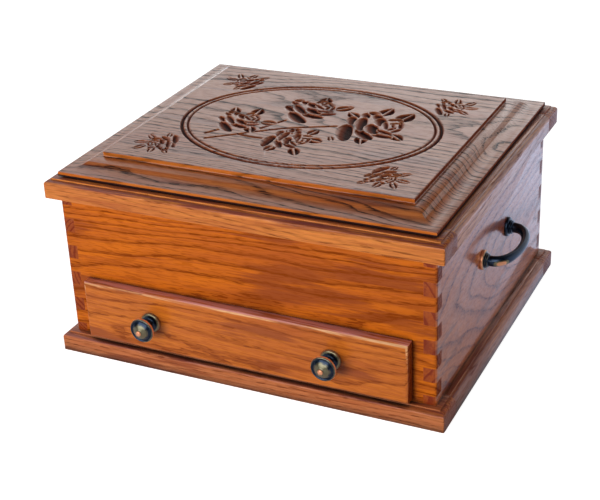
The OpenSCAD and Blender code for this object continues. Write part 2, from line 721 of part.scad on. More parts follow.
module spray_hollows(at) translate([at[0], at[1], 0]) scale([sign(at[0]), sign(at[1]), 1]) {
    rose_hollows(spray_rose, spray_petals);
    for (leaf = spray_leaves) leaf_hollow(leaf);
}
module stem_hollow(ends) {
    way = ends[1] - ends[0];
    translate(ends[0]) rotate(atan2(way[1], way[0])) sunk(stem_depth)
        translate([0, -stem_w / 2]) square([norm(way), stem_w]);
}
oval_half = [panel_x - bevel_w - oval_in, panel_y - bevel_w - oval_side_in];
module oval_groove(inset, width) translate([0, -oval_forward, 0]) sunk(groove_depth) difference() {
    oval_outline(oval_half[0] - inset, oval_half[1] - inset, oval_corners);
    oval_outline(oval_half[0] - inset - width, oval_half[1] - inset - width, oval_corners);
}
module carving() {
    oval_groove(0, outer_groove_w);
    oval_groove(inner_groove_in, inner_groove_w);
    for (at = rose_places) rose_hollows(at, len(rose_petals));
    for (at = oval_leaves) leaf_hollow(at);
    for (at = spray_places) spray_hollows(at);
    for (ends = stems) stem_hollow(ends);
}
module lid_panel() color("rosybrown") difference() {
    intersection() {
        translate([0, panel_y + over, panel_z]) rotate([90, 0, 0])
            linear_extrude(2 * (panel_y + over)) panel_section(panel_x);
        translate([-panel_x - over, 0, panel_z]) rotate([90, 0, 90])
            linear_extrude(2 * (panel_x + over)) panel_section(panel_y);
    }
    lid_screw_holes();
    carving();
}

// Drawer: a finger-jointed box behind an overlay face
drawer_edges = equal_finger_edges(drawer_h, drawer_fingers);
drawer_mid_y = drawer_l / 2 - case_y;
module drawer_bottom_block(gap) block(
    [gap - drawer_x + drawer_t - drawer_groove, drawer_x - drawer_t + drawer_groove - gap],
    [gap - case_y + drawer_t - drawer_groove, drawer_l - case_y - drawer_t + drawer_groove - gap],
    [drawer_z + drawer_bottom_up, drawer_floor_z]);
module drawer_bottom() color("burlywood") drawer_bottom_block(panel_gap);
module drawer_front_board() jointed_board(
    drawer_x, [-case_y, drawer_t - case_y], drawer_z, drawer_edges, 0, drawer_t);
module drawer_box_front() color("tan") difference() {
    drawer_front_board();
    drawer_bottom_block(0);
    knob_screw_holes();
}
module drawer_box_back() color("tan") difference() {
    translate([0, drawer_l - drawer_t, 0]) drawer_front_board();
    drawer_bottom_block(0);
}
module drawer_side(x) color("tan") difference() {
    translate([0, drawer_mid_y, 0]) jointed_side(drawer_l / 2, x, drawer_z, drawer_edges, 1, drawer_t);
    drawer_bottom_block(0);
}
module drawer_left_side() drawer_side([-drawer_x, drawer_t - drawer_x]);
module drawer_right_side() drawer_side([drawer_x - drawer_t, drawer_x]);
module drawer_felt() color("maroon") block(
    [drawer_t + felt_gap - drawer_x, drawer_x - drawer_t - felt_gap],
    [drawer_t + felt_gap - case_y, drawer_l - drawer_t - felt_gap - case_y],
    [drawer_floor_z, drawer_floor_z + felt_t]);

// Section of the face: square at the back, rounded at the front, from half its height
module face_section(half) {
    square([2 * half, face_t - face_edge_r], center = false);
    translate([face_edge_r, 0]) square([2 * (half - face_edge_r), face_t]);
    for (x = [face_edge_r, 2 * half - face_edge_r]) translate([x, face_t - face_edge_r]) circle(face_edge_r);
}
module drawer_face() color("chocolate") difference() {
    half_h = (face_z1 - face_z0) / 2;
    intersection() {
        translate([-face_x - over, -case_y, face_z1]) rotate([90, 0, 90]) rotate([0, 0, -90])
            mirror([0, 1, 0]) linear_extrude(2 * (face_x + over)) face_section(half_h);
        translate([-face_x, -case_y, face_z1 + over]) rotate([180, 0, 0])
            linear_extrude(2 * (half_h + over)) face_section(face_x);
    }
    knob_screw_holes();
}

// Knobs: a base plate, a neck and a turned head with a groove and a small nub
head_back = knob_out - 14;
rim_back = knob_out - 9.5;
rim_front = knob_out - 6.5;
groove_r = knob_r - 2.8;
dome_r = knob_r - 3.4;
nub_r = 2.6;
module knob(x) color("dimgray") translate([x, face_y, knob_z]) rotate([90, 0, 0]) difference() {
    rotate_extrude() polygon([
        [0, 0], [knob_plate_r, 0], [knob_plate_r, 1.8], [knob_plate_r - 1.2, 3], [knob_neck_r + 1, 3.6],
        [knob_neck_r, 5], [knob_neck_r, head_back], [knob_neck_r + 2.5, head_back + 2],
        [knob_r - 1.2, rim_back - 1], [knob_r, rim_back], [knob_r, rim_front - 0.8], [knob_r - 1, rim_front],
        [groove_r + 0.4, rim_front + 0.4], [groove_r, rim_front - 0.2], [dome_r, rim_front],
        [dome_r - 1.6, rim_front + 2], [dome_r - 4.2, rim_front + 3.6], [nub_r, knob_out - 1.9],
        [nub_r, knob_out - 0.9], [nub_r - 1, knob_out], [0, knob_out]]);
    translate([0, 0, -over])
        cylinder(r = machine_screw_r + fastener_play, h = machine_grip + over + fastener_play);
}
module knob_left() knob(-knob_x);
module knob_right() knob(knob_x);
module knob_screws() color("silver") both_sides() translate([knob_x, drawer_t - case_y, knob_z])
    rotate([0, 0, -90]) machine_screw(drawer_t + face_t + machine_grip);
module knob_screw_holes() both_sides() translate([knob_x, drawer_t - case_y + over, knob_z])
    rotate([90, 0, 0]) cylinder(r = machine_screw_r + fastener_play, h = drawer_t + face_t + 2 * over);

// Tray: a finger-jointed frame with a bottom in grooves and dividers halved together
tray_edges = equal_finger_edges(tray_h, tray_fingers);
module tray_bottom_block(gap) block(
    [gap - tray_in_x - tray_groove, tray_in_x + tray_groove - gap],
    [tray_in_y0 - tray_groove + gap, tray_in_y1 + tray_groove - gap],
    [tray_z0 + tray_bottom_up, tray_floor_z]);
module tray_bottom() color("burlywood") tray_bottom_block(panel_gap);
module tray_end(y) color("tan") difference() {
    jointed_board(tray_x, y, tray_z0, tray_edges, 0, tray_t);
    tray_bottom_block(0);
}
module tray_front() tray_end([tray_y0, tray_in_y0]);
module tray_back() tray_end([tray_in_y1, tray_y1]);
module tray_side(x) color("tan") difference() {
    translate([0, tray_mid_y, 0]) jointed_side(tray_l / 2, x, tray_z0, tray_edges, 1, tray_t);
    tray_bottom_block(0);
}
module tray_left_side() tray_side([-tray_x, -tray_in_x]);
module tray_right_side() tray_side([tray_in_x, tray_x]);
halving_z = (tray_floor_z + divider_top_z) / 2;
halving_play = 0.1;
function cross_divider_x(i) = -tray_in_x + (i + 1) * cell_w + (i + 0.5) * tray_divider_t;
module tray_long_divider() color("wheat") difference() {
    block([-tray_in_x, tray_in_x], [tray_mid_y - tray_divider_t / 2, tray_mid_y + tray_divider_t / 2],
          [tray_floor_z, divider_top_z]);
    for (i = [0:tray_cross_count - 1]) translate([cross_divider_x(i), tray_mid_y, 0])
        block([-1, 1] * (tray_divider_t / 2 + halving_play), [-tray_divider_t, tray_divider_t],
              [halving_z, divider_top_z + over]);
}
module tray_cross_dividers() color("wheat") for (i = [0:tray_cross_count - 1])
    translate([cross_divider_x(i), 0, 0]) difference() {
        block([-tray_divider_t / 2, tray_divider_t / 2], [tray_in_y0, tray_in_y1],
              [tray_floor_z, divider_top_z]);
        translate([0, tray_mid_y, 0]) block([-tray_divider_t, tray_divider_t],
            [-1, 1] * (tray_divider_t / 2 + halving_play), [tray_floor_z - over, halving_z]);
    }
module tray_felt() color("maroon") for (i = [0:tray_cross_count], row = [0, 1]) {
    x0 = -tray_in_x + i * (cell_w + tray_divider_t);
    y = row == 0 ? [tray_in_y0, tray_mid_y - tray_divider_t / 2]
                 : [tray_mid_y + tray_divider_t / 2, tray_in_y1];
    block([x0 + felt_gap, x0 + cell_w - felt_gap], [y[0] + felt_gap, y[1] - felt_gap],
          [tray_floor_z, tray_floor_z + felt_t]);
}

plinth_front_rail();
plinth_back_rail();
plinth_left_rail();
plinth_right_rail();
plinth_dowels();
plinth_screws();
base_panel();
case_front();
case_back();
case_left_side();
case_right_side();
bottom_panel();
drawer_guide_left();
drawer_guide_right();
divider_cleat_left();
divider_cleat_right();
divider_panel();
compartment_felt();
tray_ledge_left();
tray_ledge_right();
side_handle_left();
side_handle_right();
handle_screws();
hinge_case_leaf_left();
hinge_case_leaf_right();
hinge_lid_leaf_left();
hinge_lid_leaf_right();
hinge_pin_left();
hinge_pin_right();
hinge_screws_case();
hinge_screws_lid();
lid_front_rail();
lid_back_rail();
lid_left_rail();
lid_right_rail();
lid_dowels();
lid_panel();
lid_panel_screws();
drawer_face();
drawer_box_front();
drawer_box_back();
drawer_left_side();
drawer_right_side();
drawer_bottom();
drawer_felt();
knob_left();
knob_right();
knob_screws();
tray_front();
tray_back();
tray_left_side();
tray_right_side();
tray_bottom();
tray_long_divider();
tray_cross_dividers();
tray_felt();
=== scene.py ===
"""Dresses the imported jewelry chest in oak, bronze, brass, steel and felt, carves its lid, and lights it."""

from __future__ import annotations

import json
import logging
import math
from dataclasses import dataclass, field
from enum import Enum

import bmesh
import bpy
import numpy as np
from mathutils import Matrix, Vector

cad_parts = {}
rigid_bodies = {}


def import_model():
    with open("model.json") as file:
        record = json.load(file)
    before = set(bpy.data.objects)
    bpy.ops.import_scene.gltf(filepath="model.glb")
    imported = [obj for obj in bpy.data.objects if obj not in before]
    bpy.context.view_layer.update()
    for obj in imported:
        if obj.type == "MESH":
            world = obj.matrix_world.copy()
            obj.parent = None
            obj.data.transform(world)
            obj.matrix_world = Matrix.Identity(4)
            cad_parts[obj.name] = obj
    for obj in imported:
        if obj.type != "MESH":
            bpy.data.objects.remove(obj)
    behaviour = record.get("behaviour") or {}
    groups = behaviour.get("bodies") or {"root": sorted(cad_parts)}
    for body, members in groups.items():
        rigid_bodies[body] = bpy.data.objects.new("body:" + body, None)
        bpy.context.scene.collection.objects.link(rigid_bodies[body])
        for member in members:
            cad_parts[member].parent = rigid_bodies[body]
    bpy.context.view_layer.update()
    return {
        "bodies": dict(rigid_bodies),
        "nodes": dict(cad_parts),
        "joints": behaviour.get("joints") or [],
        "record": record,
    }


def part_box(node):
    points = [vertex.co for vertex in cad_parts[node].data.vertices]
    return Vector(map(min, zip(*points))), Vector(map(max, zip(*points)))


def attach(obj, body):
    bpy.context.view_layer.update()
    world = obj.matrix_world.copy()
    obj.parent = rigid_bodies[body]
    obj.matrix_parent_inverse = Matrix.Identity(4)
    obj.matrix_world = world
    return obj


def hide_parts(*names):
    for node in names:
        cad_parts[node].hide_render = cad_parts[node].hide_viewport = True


LOG = logging.getLogger("chest")
MM = 0.001
MM_PER_METRE = 1000.0
WELD = 1e-6
TINY = 1e-6
QUARTER = math.pi / 2.0
WHITE = (1.0, 1.0, 1.0)
TURNED_EDGE = 50.0

Colour = tuple[float, float, float]
Point = tuple[float, float, float]
Pair = tuple[float, float]
Span = tuple[float, ...]
Socket = bpy.types.NodeSocket


def eased(t: np.ndarray) -> np.ndarray:
    """Returns a smooth step from 0 to 1 as t goes from 0 to 1."""
    t = np.clip(t, 0.0, 1.0)
    return t * t * (3.0 - 2.0 * t)


def toward(azimuth: float, elevation: float) -> Vector:
    """Works out a direction from the chest.

    Args:
        azimuth: Degrees around it, from its front towards its right.
        elevation: Degrees up.

    Returns:
        The direction, one metre long.
    """
    turn, rise = math.radians(azimuth), math.radians(elevation)
    flat = math.cos(rise)
    return Vector((math.sin(turn) * flat, -math.cos(turn) * flat, math.sin(rise)))


def added(name: str, data: bpy.types.ID) -> bpy.types.Object:
    """Adds an object to the scene.

    Args:
        name: The object's name.
        data: Its mesh, curve, lamp or camera.

    Returns:
        The object.
    """
    made = bpy.data.objects.new(name, data)
    bpy.context.scene.collection.objects.link(made)
    return made


def shaded_mesh(name: str, corners: list, faces: list, edge_angle: float) -> bpy.types.Mesh:
    """Makes a smooth mesh with sharp edges.

    Args:
        name: The mesh's name.
        corners: Its corners, in metres.
        faces: The corner numbers of each face.
        edge_angle: The angle in degrees past which an edge stays sharp.

    Returns:
        The mesh.
    """
    mesh = bpy.data.meshes.new(name)
    mesh.from_pydata(corners, [], faces)
    mesh.shade_smooth()
    mesh.set_sharp_from_angle(angle=math.radians(edge_angle))
    return mesh


def mark(mesh: bpy.types.Mesh, label: str, values: object) -> None:
    """Stores a number at each corner of a mesh, for its material to read."""
    mesh.attributes.new(label, "FLOAT", "POINT").data.foreach_set("value", np.array(values, np.float32))


class Graph:
    """Adds and joins nodes in one node tree with short calls."""

    def __init__(self, tree: bpy.types.NodeTree) -> None:
        """Keeps the tree that the calls add to."""
        self.tree = tree

    def node(self, kind: str, values: dict | None = None, **settings: object) -> bpy.types.Node:
        """Adds a node.

        Args:
            kind: The node's type name.
            values: Constants or sockets for its inputs, by input name or number.
            settings: The node's own properties.

        Returns:
            The new node.
        """
        made = self.tree.nodes.new(kind)
        for key, value in settings.items():
            setattr(made, key, value)
        self.fill(made, values or {})
        return made

    def fill(self, node: bpy.types.Node, values: dict) -> None:
        """Gives a node's inputs, by name or number, their constants or sockets."""
        for key, value in values.items():
            self.feed(node.inputs[key], value)

    def feed(self, socket: Socket, value: object) -> None:
        """Joins a socket to another one, or sets its constant.

        Args:
            socket: The input.
            value: A socket, or a constant, a colour without its opacity.
        """
        if isinstance(value, Socket):
            self.tree.links.new(value, socket)
        elif socket.type == "RGBA":
            socket.default_value = (*value, 1.0)
        else:
            socket.default_value = value

    def math(self, operation: str, *operands: object) -> Socket:
        """Returns the result of a number operation."""
        return self.node("ShaderNodeMath", dict(enumerate(operands)), operation=operation).outputs[0]

    def times(self, first: object, second: object) -> Socket:
        """Returns the product of two numbers."""
        return self.math("MULTIPLY", first, second)

    def line(self, value: object, slope: object, start: object) -> Socket:
        """Returns the value times a slope, plus a start."""
        return self.math("MULTIPLY_ADD", value, slope, start)

    def vector(self, operation: str, *operands: object) -> Socket:
        """Returns the result of a vector operation, a number for a length or a dot product."""
        made = self.node("ShaderNodeVectorMath", dict(enumerate(operands)), operation=operation)
        return made.outputs["Value" if operation in ("LENGTH", "DOT_PRODUCT") else "Vector"]

    def axes(self, value: Socket) -> bpy.types.NodeOutputs:
        """Returns the X, Y and Z outputs of a vector."""
        return self.node("ShaderNodeSeparateXYZ", {0: value}).outputs

    def span(self, value: object, low: float, high: float, start: float = 0.0, end: float = 1.0) -> Socket:
        """Returns the value with low to high mapped smoothly onto start to end."""
        numbers = {"Value": value, "From Min": low, "From Max": high, "To Min": start, "To Max": end}
        return self.node("ShaderNodeMapRange", numbers, interpolation_type="SMOOTHSTEP").outputs["Result"]

    def noise(self, place: object, scale: float, detail: float = 2.0, output: str = "Fac") -> Socket:
        """Returns noise at a place, as a number or a colour."""
        values = {"Vector": place, "Scale": scale, "Detail": detail}
        return self.node("ShaderNodeTexNoise", values).outputs[output]

    def stretched(self, place: object, scale: Point, detail: float, output: str = "Fac") -> Socket:
        """Returns noise with its own scale along each axis."""
        return self.noise(self.vector("MULTIPLY", place, scale), 1.0, detail, output)

    def stored(self, label: str) -> Socket:
        """Returns a number that is stored on the mesh."""
        return self.node("ShaderNodeAttribute", attribute_name=label).outputs["Fac"]

    def mix(self, factor: object, first: object, second: object) -> Socket:
        """Returns a mix of two colours."""
        return self.node("ShaderNodeMix", {0: factor, 6: first, 7: second}, data_type="RGBA").outputs[2]

    def ramp(self, factor: object, stops: dict[float, float]) -> Socket:
        """Reads a number from a ramp.

        Args:
            factor: The place on the ramp.
            stops: The number at each stop, by its place.

        Returns:
            The number at the place.
        """
        made = self.node("ShaderNodeValToRGB", {"Fac": factor})
        elements = made.color_ramp.elements
        while len(elements) < len(stops):
            elements.new(0.5)
        for element, (position, grey) in zip(elements, sorted(stops.items())):
            element.position = position
            element.color = (grey, grey, grey, 1.0)
        return made.outputs["Color"]

    def bump(self, shader: bpy.types.Node, height: Socket, strength: float, distance: float) -> None:
        """Roughens the surface of a shader."""
        values = {"Strength": strength, "Distance": distance, "Height": height}
        self.feed(shader.inputs["Normal"], self.node("ShaderNodeBump", values).outputs["Normal"])


def blank_material(name: str) -> tuple[bpy.types.Material, Graph, bpy.types.Node]:
    """Makes a material with a Principled shader.

    Args:
        name: The material's name.

    Returns:
        The material, its graph and its shader node.
    """
    material = bpy.data.materials.new(name)
    material.use_nodes = True
    return material, Graph(material.node_tree), material.node_tree.nodes["Principled BSDF"]


class Grain(Enum):
    """Which way the grain of a board runs, as the turn in degrees that brings it onto X."""

    X = (0.0, 0.0, 0.0)
    Y = (0.0, 0.0, -90.0)
    Z = (0.0, 90.0, 0.0)


@dataclass(frozen=True)
class OakFinish:
    """Stained and varnished oak, as a solid pattern of rings around the log's centre line.

    The scales of the noises are per metre, along the grain and twice across it. A field of two or four
    numbers gives where a noise starts and stops to count, and what share it has at both.
    """

    name: str
    grain: Grain
    pith: Point
    lean: Point = (0.0, 0.0, 0.0)
    ring: float = 4.6 * MM
    sway: float = 9.0 * MM
    body: Colour = (0.51, 0.116, 0.008)
    line: Colour = (0.12, 0.024, 0.006)
    stain: Colour = (0.33, 0.066, 0.010)
    flame: Colour = (0.20, 0.036, 0.008)
    end_grain: Colour = (0.165, 0.020, 0.004)
    # Near-black painted shade, laid by ambient occlusion within the crevice distance into corners, gaps and
    # recesses.
    painted_corner_shade: Colour = (0.022, 0.007, 0.004)
    # Painted sheen and shade on faces that look up: they take this tone, in streaks, as much as the share
    # below sets; pale on the drawer face, dark on the moulded rails.
    upward: Colour = (0.17, 0.034, 0.030)
    painted_top_share: float = 0.0
    # Painted highlight: a cream tone on arrises that look partly up, broken into streaks; its share sets how
    # strong.
    wear_and_highlight: Colour = (0.68, 0.37, 0.17)
    painted_highlight_share: float = 0.0
    crevice: float = 7.0 * MM
    coat: float = 0.6
    gloss: float = 0.5
    coat_roughness: float = 0.16
    roughness: float = 0.38
    line_strength: float = 0.85
    faintest_year: float = 0.35
    pore_share: float = 0.32
    line_dulls: float = 0.75
    end_dulls: float = 0.25
    flame_from: float = 0.69
    flame_blur: float = 0.08
    flame_share: float = 0.70
    flame_jags: float = 0.22
    pore_scale: Point = (75.0, 800.0, 800.0)
    pore_span: Span = (0.50, 0.62)
    cloud_scale: Point = (5.0, 30.0, 30.0)
    cloud_span: Span = (0.42, 0.78, 0.0, 0.75)
    fibre_scale: Point = (14.0, 420.0, 420.0)
    fibre_span: Span = (0.36, 0.68, 0.0, 0.55)
    flame_scale: Point = (7.0, 42.0, 42.0)
    thread_scale: Point = (16.0, 480.0, 480.0)
    wander_scale: Point = (4.5, 13.0, 13.0)
    wander_gain: float = 2.6
    shiver_scale: Point = (35.0, 130.0, 130.0)
    shiver: float = 2.2 * MM
    year_scale: float = 70.0
    year_spread: float = 1.6
    year_stops: tuple[Pair, ...] = (
        (0.0, 1.0), (0.08, 0.8), (0.3, 0.16), (0.55, 0.0), (0.9, 0.02), (1.0, 0.45),
    )
    streak_span: Span = (0.62, 0.44, 0.15, 1.0)
    end_span: Span = (0.03, 0.55, 0.64, 0.95)
    painted_corner_shade_span: Span = (0.30, 0.85)
    worn_width: float = 1.1 * MM
    worn_span: Span = (0.99, 0.80, 0.0, 0.40)
    pore_depth: float = 0.25 * MM

    def build(self) -> bpy.types.Material:
        """Builds the finish.

        Returns:
            The material.
        """
        material, g, shader = blank_material(self.name)
        place = g.node("ShaderNodeTexCoord").outputs
        from_pith = g.vector("SUBTRACT", place["Object"], self.pith)
        turn = [math.radians(a + b) for a, b in zip(self.grain.value, self.lean)]
        along = g.node("ShaderNodeMapping", {"Vector": from_pith, "Rotation": turn}).outputs["Vector"]
        early, year = self.rings(g, along)
        pores = g.span(g.stretched(along, self.pore_scale, 1.0), *self.pore_span)
        dark = g.math("ADD", g.times(early, year), g.times(pores, g.line(early, 0.50, self.pore_share)))
        dark = g.math("MINIMUM", g.times(dark, self.line_strength), 1.0)
        cloud = g.stretched(along, self.cloud_scale, 3.0)
        colour = self.figure(g, along, cloud, dark)
        colour = self.paint_light_and_shade(g, along, place["Normal"], colour, dark)
        ends = self.ends(g, place["Normal"])
        colour = g.mix(g.times(ends, g.span(early, *self.end_span)), colour, self.end_grain)
        colour = g.mix(self.worn_edges(g), colour, self.body)
        colour, raw = self.finishing(g, colour)
        rough = g.math("ADD", g.line(pores, 0.12, self.roughness), g.times(cloud, 0.10))
        shine = g.times(g.line(dark, -self.line_dulls, 1.0), g.line(ends, -self.end_dulls, 1.0))
        shine = g.times(shine, g.line(raw, -0.95, 1.0))
        g.fill(shader, {
            "Base Color": colour,
            "Roughness": g.math("ADD", rough, g.times(raw, 0.15)),
            "IOR": 1.5,
            "Specular IOR Level": g.times(shine, self.gloss),
            "Coat Weight": g.times(shine, self.coat),
            "Coat Roughness": self.coat_roughness,
        })
        height = g.line(early, -0.5, g.times(pores, g.times(early, -1.0)))
        g.bump(shader, height, 0.35, self.pore_depth)
        return material

    def rings(self, g: Graph, along: Socket) -> tuple[Socket, Socket]:
        """Draws the growth rings around the pith.

        Args:
            g: The material's graph.
            along: The place, with the pith as its X axis.

        Returns:
            How much the place is early wood, and how dark that year's line is.
        """
        spot = g.vector("MULTIPLY", along, (0.0, 1.0, 1.0))
        wander = self.wander_gain * self.sway
        for scale, reach in ((self.wander_scale, wander), (self.shiver_scale, self.shiver)):
            off = g.vector("SUBTRACT", g.stretched(along, scale, 2.0, "Color"), (0.5, 0.5, 0.5))
            spot = g.vector("ADD", spot, g.vector("MULTIPLY", off, (0.0, reach, reach)))
        radius = g.vector("LENGTH", spot)
        thin = g.node("ShaderNodeTexNoise", {"W": radius, "Scale": self.year_scale, "Detail": 1.0},
                      noise_dimensions="1D").outputs["Fac"]
        count = g.math("ADD", g.math("DIVIDE", radius, self.ring), g.times(thin, self.year_spread))
        luck = g.node("ShaderNodeTexWhiteNoise", {"W": g.math("FLOOR", count)}, noise_dimensions="1D")
        early = g.ramp(g.math("FRACT", count), dict(self.year_stops))
        return early, g.span(luck.outputs["Value"], 0.0, 1.0, self.faintest_year, 1.0)

    def figure(self, g: Graph, along: Socket, cloud: Socket, dark: Socket) -> Socket:
        """Paints the stained wood.

        Args:
            g: The material's graph.
            along: The place, with the pith as its X axis.
            cloud: The wood's slow change from body to stain.
            dark: How dark the rings and pores are.

        Returns:
            The colour, with its fibres, flames, rings and pores.
        """
        colour = g.mix(g.span(cloud, *self.cloud_span), self.body, self.stain)
        fibre = g.stretched(along, self.fibre_scale, 3.0)
        colour = g.mix(g.span(fibre, *self.fibre_span), colour, self.stain)
        jagged = g.line(fibre, self.flame_jags, g.stretched(along, self.flame_scale, 1.0))
        flame = g.span(jagged, self.flame_from, self.flame_from + self.flame_blur, 0.0, self.flame_share)
        return g.mix(dark, g.mix(flame, colour, self.flame), self.line)

    def paint_light_and_shade(self, g: Graph, along: Socket, normal: Socket, colour: Socket, dark: Socket) -> Socket:
        """Paints sheen and shade on what faces up, a highlight on the arrises and shade in the corners.

        Args:
            g: The material's graph.
            along: The place, with the pith as its X axis.
            normal: The way that the surface faces.
            colour: The wood's colour.
            dark: How dark the rings and pores are.

        Returns:
            The colour, with its painted sheen, highlight and shade.
        """
        rise = g.axes(normal)["Z"]
        thread = g.stretched(along, self.thread_scale, 1.0)
        # Painted sheen and shade: faces that look up take the upward tone, in streaks.
        streak = g.times(g.span(thread, *self.streak_span), self.painted_top_share)
        colour = g.mix(g.times(g.span(rise, 0.25, 0.80), streak), colour, self.upward)
        # Painted highlight: arrises that look partly up take the cream tone, broken by streaks and the
        # grain's lines.
        arris = g.times(g.span(rise, 0.10, 0.30), g.span(rise, 0.92, 0.75))
        touched = g.span(thread, 0.42, 0.58, 0.15 * self.painted_highlight_share, self.painted_highlight_share)
        wear_and_highlight = g.times(arris, g.times(touched, g.line(dark, -0.8, 1.0)))
        colour = g.mix(wear_and_highlight, colour, self.wear_and_highlight)
        # Painted shade: where ambient occlusion finds corners, gaps and recesses, the colour goes towards
        # near black.
        hidden = g.node("ShaderNodeAmbientOcclusion", {"Distance": self.crevice}, samples=6).outputs["AO"]
        return g.mix(g.span(hidden, *self.painted_corner_shade_span), self.painted_corner_shade, colour)

    def ends(self, g: Graph, normal: Socket) -> Socket:
        """Returns 1 where the surface cuts across the grain, and 0 along it."""
        axis = tuple(float(way is self.grain) for way in Grain)
        return g.span(g.math("ABSOLUTE", g.vector("DOT_PRODUCT", normal, axis)), 0.72, 0.95)

    def worn_edges(self, g: Graph) -> Socket:
        """Finds the worn arrises.

        Args:
            g: The material's graph.

        Returns:
            How much the finish is worn thin, 0 away from arrises.
        """
        rounded = g.node("ShaderNodeBevel", {"Radius": self.worn_width}, samples=4).outputs["Normal"]
        true = g.node("ShaderNodeNewGeometry").outputs["Normal"]
        return g.span(g.vector("DOT_PRODUCT", rounded, true), *self.worn_span)

    def finishing(self, g: Graph, colour: Socket) -> tuple[Socket, object]:
        """Returns the colour, and 1 where the surface is unpolished. A carved finish changes both."""
        return colour, 0.0


@dataclass(frozen=True)
class CarvedOakFinish(OakFinish):
    """Oak whose cut recesses are unpolished and stained darker, with painted shade by their depth in
    millimetres, painted shadow under the lip and a painted lit tone on the upright edges.
    """

    # Darker stain in the recesses, deepening with the cut's depth as painted shade.
    recess_stain_and_shade: Colour = (0.20, 0.044, 0.022)
    recess_stain_and_shade_span: Span = (0.10, 1.25, 0.0, 0.92)
    # Near-black painted shade at the bottom of the deepest hollows and on the wall under the panel's lip.
    painted_hollow_shade: Colour = (0.020, 0.008, 0.008)
    painted_hollow_shade_span: Span = (0.85, 2.1, 0.0, 0.95)
    unpolished_span: Span = (0.10, 1.1)
    # A bright orange painted lit tone, mixed half in on upright edges that face front and back.
    edge: Colour = (0.60, 0.155, 0.010)
    # Below this height, within lip_shade, upright faces take the painted shadow of the lip.
    lip_foot: float = 189.2 * MM
    lip_shade: float = 0.9 * MM

    def finishing(self, g: Graph, colour: Socket) -> tuple[Socket, Socket]:
        """Darkens the recesses with stain and painted shade, paints shadow under the lip and a lit tone on
        the panel's upright edges.

        Args:
            g: The material's graph.
            colour: The colour of the uncut wood.

        Returns:
            The colour, and 1 where the surface is unpolished.
        """
        depth = g.stored("cut")
        place = g.node("ShaderNodeTexCoord").outputs
        speck = g.noise(place["Object"], 900.0, 2.0)
        # Recesses: darker stain, deepening with depth as painted shade.
        colour = g.mix(g.span(depth, *self.recess_stain_and_shade_span), colour, self.recess_stain_and_shade)
        # Painted shade, near black, in the deepest parts of the hollows, speckled.
        deep = g.math("ADD", g.span(depth, *self.painted_hollow_shade_span), g.line(speck, 0.4, -0.2))
        deep = g.times(g.span(depth, 0.05, 0.45), g.math("MAXIMUM", deep, 0.0))
        colour = g.mix(deep, colour, self.painted_hollow_shade)
        facing = g.axes(place["Normal"])
        level = g.math("ABSOLUTE", facing["Z"])
        upright = g.times(g.span(level, 0.55, 0.15), g.span(depth, 0.30, 0.05))
        # Painted lit tone: upright edges facing front and back are brightened towards the edge colour.
        painted_lit_edge = g.times(upright, g.span(g.math("ABSOLUTE", facing["Y"]), 0.3, 0.7, 0.0, 0.75))
        colour = g.mix(painted_lit_edge, colour, g.mix(0.5, colour, self.edge))
        # Painted shadow on the upright wall under the panel's lip, in the shadow gap.
        below = g.span(g.axes(place["Object"])["Z"], self.lip_foot, self.lip_foot - self.lip_shade)
        colour = g.mix(g.times(below, g.span(level, 0.7, 0.4)), colour, self.painted_hollow_shade)
        raw = g.math("MAXIMUM", g.span(depth, *self.unpolished_span), g.times(upright, 0.95))
        return colour, raw


@dataclass(frozen=True)
class BronzeFinish:
    """Dark oil-rubbed bronze, brassy where the attribute wear is middling and coppery where it is high."""

    name: str = "dark_bronze"
    dark: Colour = (0.014, 0.030, 0.062)
    brassy: Colour = (0.21, 0.19, 0.115)
    brassy_span: Span = (0.12, 0.34)
    copper: Colour = (0.90, 0.38, 0.19)
    copper_span: Span = (0.50, 0.78)
    roughness: float = 0.30
    metal_span: Span = (0.45, 0.75, 0.92, 0.60)

    def build(self) -> bpy.types.Material:
        """Builds the finish.

        Returns:
            The material.
        """
        material, g, shader = blank_material(self.name)
        place = g.node("ShaderNodeTexCoord").outputs["Object"]
        mottle = g.noise(place, 240.0, 4.0)
        patchy = g.math("ADD", g.stored("wear"), g.line(mottle, 0.40, -0.20))
        colour = g.mix(g.span(patchy, *self.brassy_span), self.dark, self.brassy)
        g.fill(shader, {
            "Base Color": g.mix(g.span(patchy, *self.copper_span), colour, self.copper),
            "Roughness": g.line(mottle, 0.16, self.roughness - 0.08),
            "Metallic": g.span(patchy, *self.metal_span),
            "Coat Weight": 0.30,
            "Coat Roughness": 0.10,
        })
        g.bump(shader, g.noise(place, 1800.0, 2.0), 0.10, 0.05 * MM)
        return material


@dataclass(frozen=True)
class MetalFinish:
    """A plain metal with tarnish in soft patches and fine drawn lines."""

    name: str
    bright: Colour
    dull: Colour
    roughness: float
    lines: Point = (60.0, 1400.0, 1400.0)

    def build(self) -> bpy.types.Material:
        """Builds the finish.

        Returns:
            The material.
        """
        material, g, shader = blank_material(self.name)
        place = g.node("ShaderNodeTexCoord").outputs["Object"]
        patch = g.noise(place, 170.0, 4.0)
        g.fill(shader, {
            "Base Color": g.mix(g.span(patch, 0.38, 0.7), self.bright, self.dull),
            "Roughness": g.line(patch, 0.2, self.roughness - 0.08),
            "Metallic": 1.0,
        })
        g.bump(shader, g.stretched(place, self.lines, 2.0), 0.12, 0.04 * MM)
        return material


